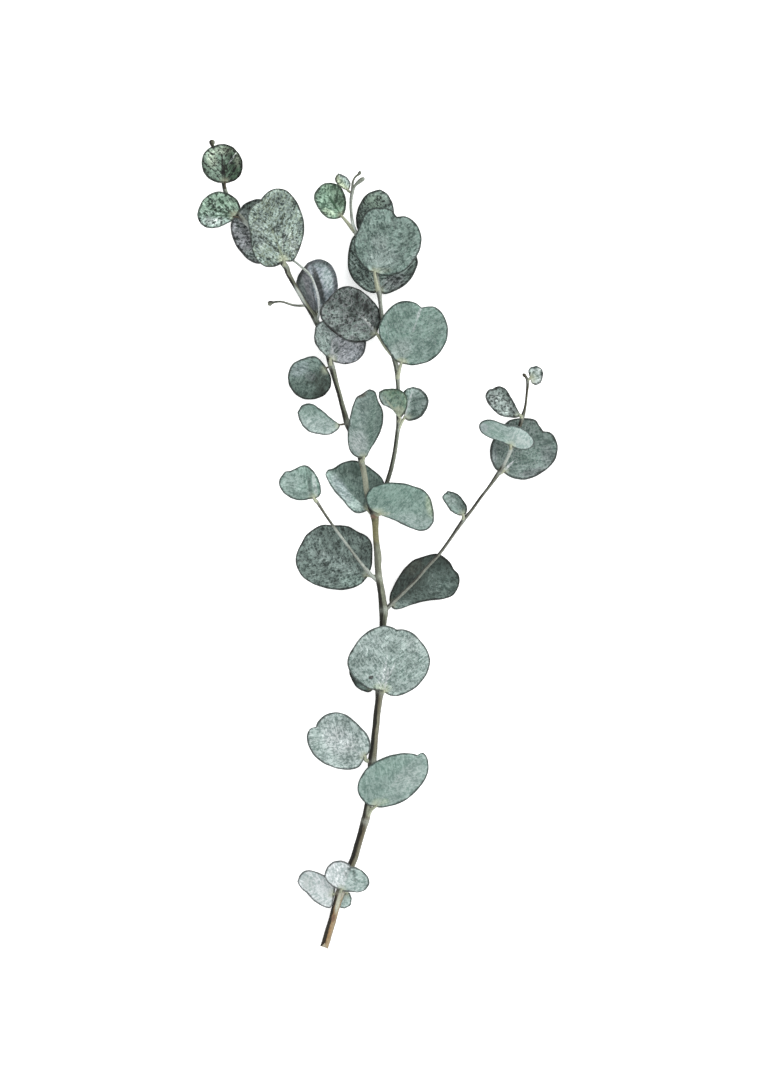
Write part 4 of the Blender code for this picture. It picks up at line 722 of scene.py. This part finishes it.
class LeafNodes(Nodes):
    """A leaf's material: how far along and off its midrib a point is, mm, and the noises its parts share."""

    def __init__(self, name, leaf, blade, seed):
        super().__init__(name)
        self.leaf = leaf
        self.contrast = leaf["mottle"]
        self.along, self.across = self.mapped()
        width = blade.half_one + blade.half_two
        self.off = self.times(self.calc("ABSOLUTE", self.less(self.across, 0.5)), width)
        self.run = self.times(self.along, blade.length)
        self.slant = self.less(self.run, self.times(self.off, VEIN_SLANT))
        self.broad = self.noise(7.0, seed, 3, 0.5)
        self.blotch = self.noise(2.6, seed, 5, 0.7, 0.7)
        self.grain = self.noise(1.3, seed + 7, 3, 0.7)
        outward = self.times(self.add(self.off, self.times(self.run, 0.5)), 0.22)
        streak_place = self.vector(self.slant, outward)
        self.streak = self.noise(1.5, seed, 3, 0.6, 0.5, streak_place)
        self.dash = self.noise(0.8, seed + 3, 2, 0.6, 0.3, streak_place)

    def halves(self):
        """The tones of the two halves, wavering where they meet: partly the leaf's own colour and partly
        painted shade on a half turned from the light.
        """
        seam = self.add(self.across, self.around(self.broad, 0.25))
        one, two = self.leaf["tones"]
        soft = self.leaf["meet"] / 2
        return self.mix(self.ramp(seam, 0.5 - soft, 0.5 + soft), linear(two), one)

    def mottled(self, colour):
        """The colour with blotches, streaks along the side veins, grain and light dashes."""
        contrast = self.contrast
        fine = self.add(self.times(self.ramp(self.streak, 0.42, 0.58), 0.28),
                        self.times(self.ramp(self.grain, 0.42, 0.58), 0.38))
        mottle = self.add(self.times(self.ramp(self.blotch, 0.43, 0.57), 0.34), fine)
        swing = 0.45 * contrast
        colour = self.bright(colour, self.ramp(self.broad, 0.3, 0.7, 1 - swing, 1 + swing))
        dark = 1 - 1.1 * contrast
        dark_part = self.tint(colour, (0.9 * dark, 1.02 * dark, 0.99 * dark))
        light_part = self.washed(colour, 1 - 0.35 * contrast, 1 + 0.95 * contrast)
        colour = self.mix(self.ramp(mottle, 0.17, 0.78), dark_part, light_part)
        dashes = self.times(self.ramp(self.dash, 0.57, 0.64), min(1.0, 1.6 * contrast))
        return self.mix(dashes, colour, self.washed(colour, 0.78, 1.75)), mottle

    def veins(self):
        """Where the side veins run, and the fine net between them."""
        phase = self.add(self.times(self.slant, 1 / VEIN_GAP), self.around(self.broad, 2.2))
        wave = self.calc("PINGPONG", phase, 0.5)
        side_veins = self.times(self.fade(wave, 0.0, 0.09), self.ramp(self.blotch, 0.42, 0.56))
        warped = self.node("VectorMath", {"operation": "MULTIPLY_ADD"}, i1=NET_WARP, i2=self.place,
                           i0=self.vector(self.blotch, self.grain, self.broad)).outputs[0]
        cells = self.node("TexVoronoi", {"feature": "DISTANCE_TO_EDGE"}, Vector=warped, Scale=NET_CELLS)
        net = self.times(self.fade(cells.outputs[0], 0.0, 0.17), self.ramp(self.broad, 0.32, 0.52))
        return side_veins, net

    def midrib(self):
        """The midrib's line, wider and brighter near the stalk."""
        reach, start = self.leaf["rib"][1], self.leaf["rib_start"]
        bent = self.calc("ABSOLUTE", self.add(self.off, self.around(self.broad, 2.0)))
        line = self.fade(self.less(bent, self.ramp(self.along, 0.0, reach, 0.5, 0.1)), 0.0, 0.35)
        line = self.times(line, self.ramp(self.grain, 0.38, 0.52, 0.3, 1.0))
        begun = self.ramp(self.along, start - 0.1, start)
        return self.times(line, self.times(begun, self.fade(self.along, reach - 0.12, reach)))

    def edged(self, colour):
        """A dark line of uneven width round the leaf, with a light band inside it."""
        wide = self.leaf["margin"]
        uneven = self.add(self.around(self.grain, 0.9), self.around(self.broad, 1.2))
        rim = self.add(self.field("rim"), uneven)
        band = self.times(self.ramp(rim, 0.8, 1.3), self.fade(rim, 1.5, 2.6))
        colour = self.mix(self.times(band, 0.3), colour, self.bright(colour, 1.35))
        edge = self.mix(0.25, self.bright(colour, 0.3), "soot")
        return self.mix(self.ramp(rim, 0.5 * wide, 1.3 * wide, 0.94, 0.0), colour, edge)


def blade_material(name, leaf, blade, seed):
    """A waxy leaf: two halves and spots, some of them painted shade, mottling, side veins, a fine net, a
    midrib and a dark margin.
    """
    n = LeafNodes(name, leaf, blade, seed)
    colour, mottle = n.mottled(n.spotted(n.halves(), leaf["spots"], n.blotch))
    side_veins, net = n.veins()
    rib_tone, _, strength = leaf["rib"]
    vein_tone = n.mix(0.5, n.bright(colour, 1.5), rib_tone)
    colour = n.mix(n.times(side_veins, 0.5 * n.contrast + 0.1), colour, vein_tone)
    colour = n.mix(n.times(net, min(1.0, 1.1 * n.contrast)), colour, vein_tone)
    colour = n.mix(n.times(n.midrib(), strength), colour, rib_tone)
    colour = n.bright(colour, leaf["light"])
    fan_at_stalk = n.times(n.fade(n.run, 0.0, 4.5), n.fade(n.off, 0.8, 3.6))
    colour = n.edged(n.mix(n.times(fan_at_stalk, 0.6), colour, "straw"))
    height = n.add(n.times(side_veins, 0.5), n.add(n.times(net, 0.25), n.times(mottle, 0.8)))
    return n.finish(colour, n.ramp(mottle, 0.2, 0.8, 0.52, 0.74), 0.22, 0.4, height)


def bark_material(name, body_tone, young_tone, joint_tone, spots=()):
    """Streaked bark with painted shade on its left side and painted light on its right, paler round the
    joints, with patches.
    """
    n = Nodes(name)
    age, left = n.mapped()
    x, y = n.split(n.place)
    strands = n.vector(n.times(left, 3.4), n.times(n.add(y, n.times(x, 0.6)), 60.0))
    strand = n.noise(1.0, 3, 3, 0.6, 0.3, strands)
    patch = n.noise(9.0, 5, 4, 0.6)
    grain = n.noise(0.8, 9, 3, 0.7)

    # the wood greys and then greens as it gets younger, in light and dark strands
    body = n.mix(n.ramp(age, 0.03, 0.14), linear("tan"), body_tone)
    body = n.mix(n.ramp(age, 0.3, 0.7), body, young_tone)
    light = n.mix(0.5, n.bright(body, 1.25), "beige")
    colour = n.mix(n.times(n.ramp(strand, 0.52, 0.62), 0.75), body, light)
    colour = n.mix(n.times(n.fade(strand, 0.38, 0.48), 0.85), colour, "umber")

    # painted light on the right side, dark tips and pale joints
    side = n.add(left, n.add(n.around(patch, 0.8), n.around(grain, 0.25)))
    side = n.less(side, n.ramp(age, 0.1, 0.2, 0.06, 0.0))
    colour = n.mix(n.ramp(side, 0.14, 0.38, 0.6, 0.0), colour, light)
    colour = n.mix(n.ramp(age, 0.85, 1.0, 0.0, 0.62), colour, "umber")
    pale = n.field("joint")
    colour = n.mix(n.times(pale, n.ramp(grain, 0.35, 0.6, 0.65, 1.0)), colour, joint_tone)

    # painted shade, black, on the left side and a dark right edge, both weaker where the bark is pale
    shade = n.times(n.ramp(side, 0.46, 0.62), n.ramp(pale, 0.0, 0.7, 0.95, 0.3))
    colour = n.mix(shade, colour, "soot")
    edge = n.times(n.ramp(left, 0.02, 0.13, 0.75, 0.0), n.ramp(pale, 0.0, 1.0, 1.0, 0.4))
    colour = n.spotted(n.mix(edge, colour, "umber"), spots, patch)
    colour = n.bright(colour, n.ramp(grain, 0.3, 0.7, 0.7, 1.1))
    return n.finish(colour, 0.62, 0.2, 0.6, n.add(strand, n.times(grain, 0.5)))


def cut_material():
    """The pale pith and darker rings of the cut end."""
    n = Nodes("cut_wood")
    grain = n.noise(0.5, 2, 3, 0.7)
    return n.finish(n.mix(n.ramp(grain, 0.35, 0.65), linear("tan"), "cream"), 0.85, 0.5)


def sweep(centres, radii, sides, start):
    """A round tube's points in rings, its faces with both ends closed, and how far left each point is."""
    points, faces, left = [], [], []
    count = len(centres)
    for i, (centre, radius) in enumerate(zip(centres, radii)):
        ahead = centres[min(i + 1, count - 1)] - centres[max(i - 1, 0)]
        ahead = ahead / np.linalg.norm(ahead)
        across = np.cross(ahead, (0, 0, 1))
        across = across / max(np.linalg.norm(across), 1e-6)
        up = np.cross(across, ahead)
        for k in range(sides):
            a = 2 * math.pi * (k + 0.5) / sides
            out = across * math.cos(a) + up * math.sin(a)
            points.append(centre + radius * out)
            left.append(0.5 - 0.5 * out[0])
    for i in range(count - 1):
        for k in range(sides):
            a, b = start + i * sides + k, start + i * sides + (k + 1) % sides
            faces.append((a, a + sides, b + sides, b))
    last = start + (count - 1) * sides
    faces.append(tuple(start + k for k in range(sides)))
    faces.append(tuple(last + sides - 1 - k for k in range(sides)))
    return points, faces, left


def route_rings(number, joints):
    """A route's ring centres and radii, knobbly at its joints, and how near each ring is to a joint."""
    route, _, _, bud_swell = ROUTES[number]
    fine = spline(route, int(length_of(spline(route, 200)[:, :3]) / STEM_STEP))
    centres, radii = fine[:, :3], np.maximum(fine[:, 3], THINNEST_WOOD) + STEM_EXTRA
    near = np.linalg.norm(centres[:, None, :] - joints[None], axis=2).min(axis=1)
    joint = np.clip(1 - near / JOINT_REACH, 0, 1)
    step = np.arange(len(radii))
    radii = radii * (1 + 0.02 * np.sin(step * 1.9) * np.sin(step * 0.37 + number) + 0.08 * joint ** 3)
    to_end = np.linalg.norm(centres - centres[-1], axis=1)
    radii = np.where(to_end < BUD_REACH, radii * bud_swell, radii)
    sway = 0.03 * radii * np.sin(step * 0.61) + STEM_SHIFT
    return centres + np.outer(sway, (1, 0, 0)), radii, joint


def split_cut_end(points, left, centres):
    """Draws the first rings back along the stem into a notch, deepest just left of its middle."""
    back = centres[1] - centres[0]
    back = back / np.linalg.norm(back)
    for j in range(NOTCH_RINGS * MAIN_SIDES):
        depth = NOTCH_DEPTH * max(0, 1 - 3.2 * abs(left[j % MAIN_SIDES] - 0.55))
        points[j] = points[j] + back * max(0, depth - STEM_STEP * (j // MAIN_SIDES))


def fine_stem(bark, cut):
    """Every route as a finely ringed tube with low ridges. The first one has the cut end."""
    joints = np.array([leaf["stalk"][-1] for leaf in LEAVES.values()], float)
    points, faces, uvs, picks, joint_field = [], [], [], [], []
    for number, (_, (pale_start, pale_end), age, _) in enumerate(ROUTES):
        is_main = number == 0
        centres, radii, joint = route_rings(number, joints)
        sides = MAIN_SIDES if is_main else TWIG_SIDES
        ring_points, ring_faces, left = sweep(centres, radii, sides, len(points))
        climbed = np.clip((centres[:, 1] - AGEING[0]) / (AGEING[1] - AGEING[0]), 0, 1)
        ages = age * climbed if is_main else np.full(len(centres), age)
        fading = (1 - np.linspace(0, 1, len(centres))) ** 1.3
        pale = np.maximum(0.42 * joint, pale_end + (pale_start - pale_end) * fading)
        for j, point in enumerate(ring_points):
            ring, k = j // sides, j % sides
            ridge = 1 + RIDGE * math.sin(6 * math.pi * k / sides + 0.09 * ring)
            points.append(centres[ring] + (point - centres[ring]) * ridge)
            # the second number, how far left a point is, places the bark's painted shade and painted light
            uvs.append((ages[ring], left[j]))
            joint_field.append(pale[ring])
        if is_main:
            split_cut_end(points, left, centres)
        picks += [0] * (len(ring_faces) - 2) + [int(is_main), 0]
        faces += ring_faces
    return mesh_piece("stem_fine", points, faces, [bark, cut], picks, uvs, {"joint": joint_field})


def rim_points(leaf):
    """Points round the outline from just past the stalk, over the tip and back."""
    base, tip = leaf["base"][:2], leaf["tip"]
    sides = []
    for points in ([base, *leaf["one"], tip], [base, *leaf["two"][::-1], tip]):
        fine = spline(points, OUTLINE_SAMPLES)
        first = int(OUTLINE_SAMPLES * 0.5 * STALK_WIDE / length_of(fine)) + 1
        sides.append(fine[np.linspace(first, OUTLINE_SAMPLES, SIDE_STEPS + 1).astype(int)])
    return np.vstack([sides[0], sides[1][-2::-1]])


def soft_floor(height):
    """Heights below the ground's half blade come to lie exactly on it."""
    low = BLADE_THICK / 2
    over = height - low
    bent = low + (over + FLAT_SOFTNESS) ** 2 / (4 * FLAT_SOFTNESS)
    return np.where(over > FLAT_SOFTNESS, height, np.where(over < -FLAT_SOFTNESS, low, bent))


class Blade:
    """A leaf's middle surface, with its coordinates along and across the midrib."""

    def __init__(self, leaf):
        self.leaf = leaf
        self.base = np.array(leaf["base"][:2])
        axis = np.array(leaf["tip"]) - self.base
        self.length = float(np.linalg.norm(axis))
        self.axis = axis / self.length
        self.side = np.array((-self.axis[1], self.axis[0]))
        self.outline = rim_points(leaf)
        self.centre = self.base + self.axis * self.length / 2
        if np.dot(np.mean(leaf["one"], axis=0) - self.base, self.side) < 0:
            self.side = -self.side
        reach = (self.outline - self.base) @ self.side
        self.half_one, self.half_two = max(float(reach.max()), 1), max(float(-reach.min()), 1)

    def coordinates(self, spots):
        """How far along the midrib, from 0 to 1, and how far across, from -1 to 1."""
        s = (spots - self.base) @ self.axis / self.length
        t = (spots - self.base) @ self.side
        return s, np.where(t > 0, t / self.half_one, t / self.half_two)

    def height(self, spots, ring, turn):
        """The source's height there, with side veins and small swellings in relief."""
        leaf = self.leaf
        rise, lift_one, lift_two = leaf["lifts"]
        s, t = self.coordinates(spots)
        z = leaf["base"][2] + rise * s + leaf["bow"] * 4 * s * (1 - s)
        z = z + np.where(t > 0, lift_one, lift_two) * t ** 2
        z = z + leaf["wave"] * ring ** 2 * np.sin(2 * math.pi * RIM_WAVES * turn)
        off = np.abs(t) * (self.half_one + self.half_two) / 2
        veins = np.cos(2 * math.pi * (s * self.length - VEIN_SLANT * off) / VEIN_GAP)
        relief = VEIN_RELIEF * veins + SWELLING * np.sin(s * 9 + 2) * np.cos(t * 5 - 1)
        return soft_floor(z + relief * (1 - ring ** 4))


def rippled(blade, turn):
    """The way from the blade's centre out to its finely rippled outline, and the plain radius there."""
    outward = blade.outline - blade.centre
    radius = np.linalg.norm(outward, axis=1)
    coarse, fine = COARSE_RIPPLE, FINE_RIPPLE
    ripple = coarse[0] * np.sin(turn * 2 * math.pi * coarse[1] + 1)
    ripple = ripple + fine[0] * np.sin(turn * 2 * math.pi * fine[1] + blade.length)
    ripple = ripple * np.minimum(1, np.minimum(turn, 1 - turn) * 20)
    return outward * (1 + ripple / radius)[:, None], radius


def surface_grid(blade):
    """A blade's middle surface: points in rings, triangles and how far in from the rim each point is.

    The last value says whether the outline runs clockwise."""
    count = len(blade.outline)
    turn = np.arange(count) / count
    outward, radius = rippled(blade, turn)
    spots = [blade.centre[None, :]]
    heights = [blade.height(spots[0], np.zeros(1), np.zeros(1))]
    rims = [np.full(1, radius.min())]
    for ring in np.linspace(0, 1, RING_COUNT + 1)[1:] ** RING_CROWDING:
        here = blade.centre + outward * ring
        spots.append(here)
        heights.append(blade.height(here, np.full(count, ring), turn))
        rims.append(radius * (1 - ring))
    triangles = [(0, 1 + k, 1 + (k + 1) % count) for k in range(count)]
    for r in range(RING_COUNT - 1):
        for k in range(count):
            a, b = 1 + r * count + k, 1 + r * count + (k + 1) % count
            triangles += [(a, a + count, b + count), (a, b + count, b)]
    middle = np.column_stack([np.vstack(spots), np.concatenate(heights)])
    triangles = np.array(triangles)
    first = middle[triangles[0]]
    clockwise = np.cross(first[1] - first[0], first[2] - first[0])[2] < 0
    if clockwise:
        triangles = triangles[:, ::-1]
    return middle, triangles, np.concatenate(rims), clockwise


def point_normals(points, triangles):
    corners = points[triangles]
    face_normals = np.cross(corners[:, 1] - corners[:, 0], corners[:, 2] - corners[:, 0])
    normals = np.zeros_like(points)
    for k in range(3):
        np.add.at(normals, triangles[:, k], face_normals)
    return normals / np.linalg.norm(normals, axis=1)[:, None]


def midrib(blade, reach):
    """The line of the midrib inside the blade, standing a little proud of both faces near the stalk."""
    along = np.linspace(0.02, min(reach + 0.1, 0.9), RIB_STEPS)
    spots = blade.base + np.outer(along, blade.axis * blade.length)
    lie = blade.height(spots, np.abs(along - 0.5) * 2, np.zeros(RIB_STEPS))
    return np.column_stack([spots, lie]), np.linspace(*RIB_RADIUS, RIB_STEPS), along


def stalk(blade):
    """The stalk from inside the wood to just inside the blade, thinning as it goes."""
    leaf = blade.leaf
    at_wood, at_blade = THIN_STALK_RADIUS if leaf["thin_stalk"] else STALK_RADIUS
    at_wood = min(at_wood, 0.4 + 0.04 * blade.length)
    inside = blade.base + blade.axis * STALK_INSIDE
    end = (*inside, blade.height(inside[None, :], np.ones(1), np.zeros(1))[0])
    centres = spline([*leaf["stalk"][::-1], leaf["base"], end], STALK_STEPS)
    thinned = np.linspace(0, 1, STALK_STEPS + 1) ** 1.2
    return centres, at_wood + (at_blade - at_wood) * thinned, np.full(STALK_STEPS + 1, STALK_AGE)


def fine_leaf(name, blade, materials):
    """The blade with its finer outline and relief, its stalk, and the midrib that the stalk runs on into."""
    middle, triangles, rims, clockwise = surface_grid(blade)
    count, size = len(blade.outline), len(middle)
    normals = point_normals(middle, triangles)
    half = (FINE_HALF + (RIM_HALF - FINE_HALF) * np.clip(1 - rims / RIM_TAPER, 0, 1))[:, None]
    points = list(middle + normals * half) + list(middle - normals * half)
    faces = [tuple(t) for t in triangles.tolist()]
    faces += [(c + size, b + size, a + size) for a, b, c in triangles.tolist()]
    start = size - count
    for k in range(count):
        a, b = start + k, start + (k + 1) % count
        wall = (a, a + size, b + size, b)
        faces.append(wall[::-1] if clockwise else wall)
    s, t = blade.coordinates(middle[:, :2])
    uvs = np.tile(np.column_stack([s, 0.5 + 0.5 * t]), (2, 1)).tolist()
    rims = np.tile(rims, 2).tolist()
    picks = [0] * len(faces)

    # the midrib counts as far inside the rim and has the blade's material, the stalk has its own
    for part, pick, rim in ((midrib(blade, blade.leaf["rib"][1]), 0, 9.0), (stalk(blade), 1, 0.0)):
        centres, radii, along = part
        tube_points, tube_faces, left = sweep(centres, radii, TUBE_SIDES, len(points))
        points += tube_points
        faces += tube_faces
        picks += [pick] * len(tube_faces)
        # the stalk's second number, how far left a point is, places its bark's painted shade and painted
        # light
        uvs += [(along[j // TUBE_SIDES], left[j] if pick else 0.5) for j in range(len(tube_points))]
        rims += [rim] * len(tube_points)
    fields = {"rim": rims, "joint": [STALK_PALENESS] * len(points)}
    return mesh_piece(name + "_fine", points, faces, materials, picks, uvs, fields)


def table():
    bpy.ops.mesh.primitive_plane_add(size=TABLE_SIZE, location=(0, 0, 0))
    ob = bpy.context.object
    ob.name = "table"
    n = Nodes("white_table")
    n.shader.inputs["Emission Color"].default_value = (1, 1, 1, 1)
    n.shader.inputs["Emission Strength"].default_value = TABLE_GLOW
    ob.data.materials.append(n.finish(TABLE_TONE, 0.9, 0.0))


def lights():
    """An even white room with one large soft window on the right."""
    world = bpy.data.worlds.new("soft_room")
    bpy.context.scene.world = world
    world.use_nodes = True
    back = world.node_tree.nodes["Background"]
    back.inputs[0].default_value = (1, 1, 1, 1)
    back.inputs[1].default_value = WORLD_LIGHT
    data = bpy.data.lights.new("window", "AREA")
    data.energy, data.size, data.color = WINDOW_WATTS, WINDOW_SIZE, WINDOW_TONE
    ob = bpy.data.objects.new("window", data)
    bpy.context.scene.collection.objects.link(ob)
    ob.location = WINDOW_PLACE
    ob.rotation_euler = (-ob.location).to_track_quat("-Z", "Y").to_euler()


def camera():
    """Straight above the branch, far enough away that heights barely shift it."""
    data = bpy.data.cameras.new("overhead")
    data.sensor_width = SENSOR
    data.lens = SENSOR * CAMERA_HEIGHT / VIEW_LONG_SIDE
    data.clip_end = 50.0
    ob = bpy.data.objects.new("overhead", data)
    bpy.context.scene.collection.objects.link(ob)
    x, y, z = CAMERA_OVER
    ob.location = (x * MM, y * MM, (z + CAMERA_HEIGHT) * MM)
    bpy.context.scene.camera = ob


def keep(piece, node):
    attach(piece, "root")
    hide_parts(node)


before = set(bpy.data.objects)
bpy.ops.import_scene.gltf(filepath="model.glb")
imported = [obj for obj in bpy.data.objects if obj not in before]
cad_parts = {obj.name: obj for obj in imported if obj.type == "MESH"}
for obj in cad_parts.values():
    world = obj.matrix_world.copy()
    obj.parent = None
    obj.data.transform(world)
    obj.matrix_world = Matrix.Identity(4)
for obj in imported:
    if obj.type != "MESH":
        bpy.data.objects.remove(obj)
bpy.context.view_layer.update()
bpy.context.scene.view_settings.view_transform = "Standard"

bark = bark_material("bark_fine", "bark", "twig", "chalk", BARK_SPOTS)
keep(fine_stem(bark, cut_material()), "stem")
pale_stalk = bark_material("pale_stalk", "beige", "beige", "straw")
dark_stalk = bark_material("dark_stalk", "bark", "bark", "umber")
for number, (leaf_name, facts) in enumerate(LEAVES.items(), start=1):
    leaf = {**USUAL, **facts}
    blade = Blade(leaf)
    skin = blade_material(leaf_name + "_blade", leaf, blade, number)
    stalk_skin = dark_stalk if leaf["thin_stalk"] else pale_stalk
    keep(fine_leaf(leaf_name, blade, [skin, stalk_skin]), leaf_name)

table()
lights()
camera()
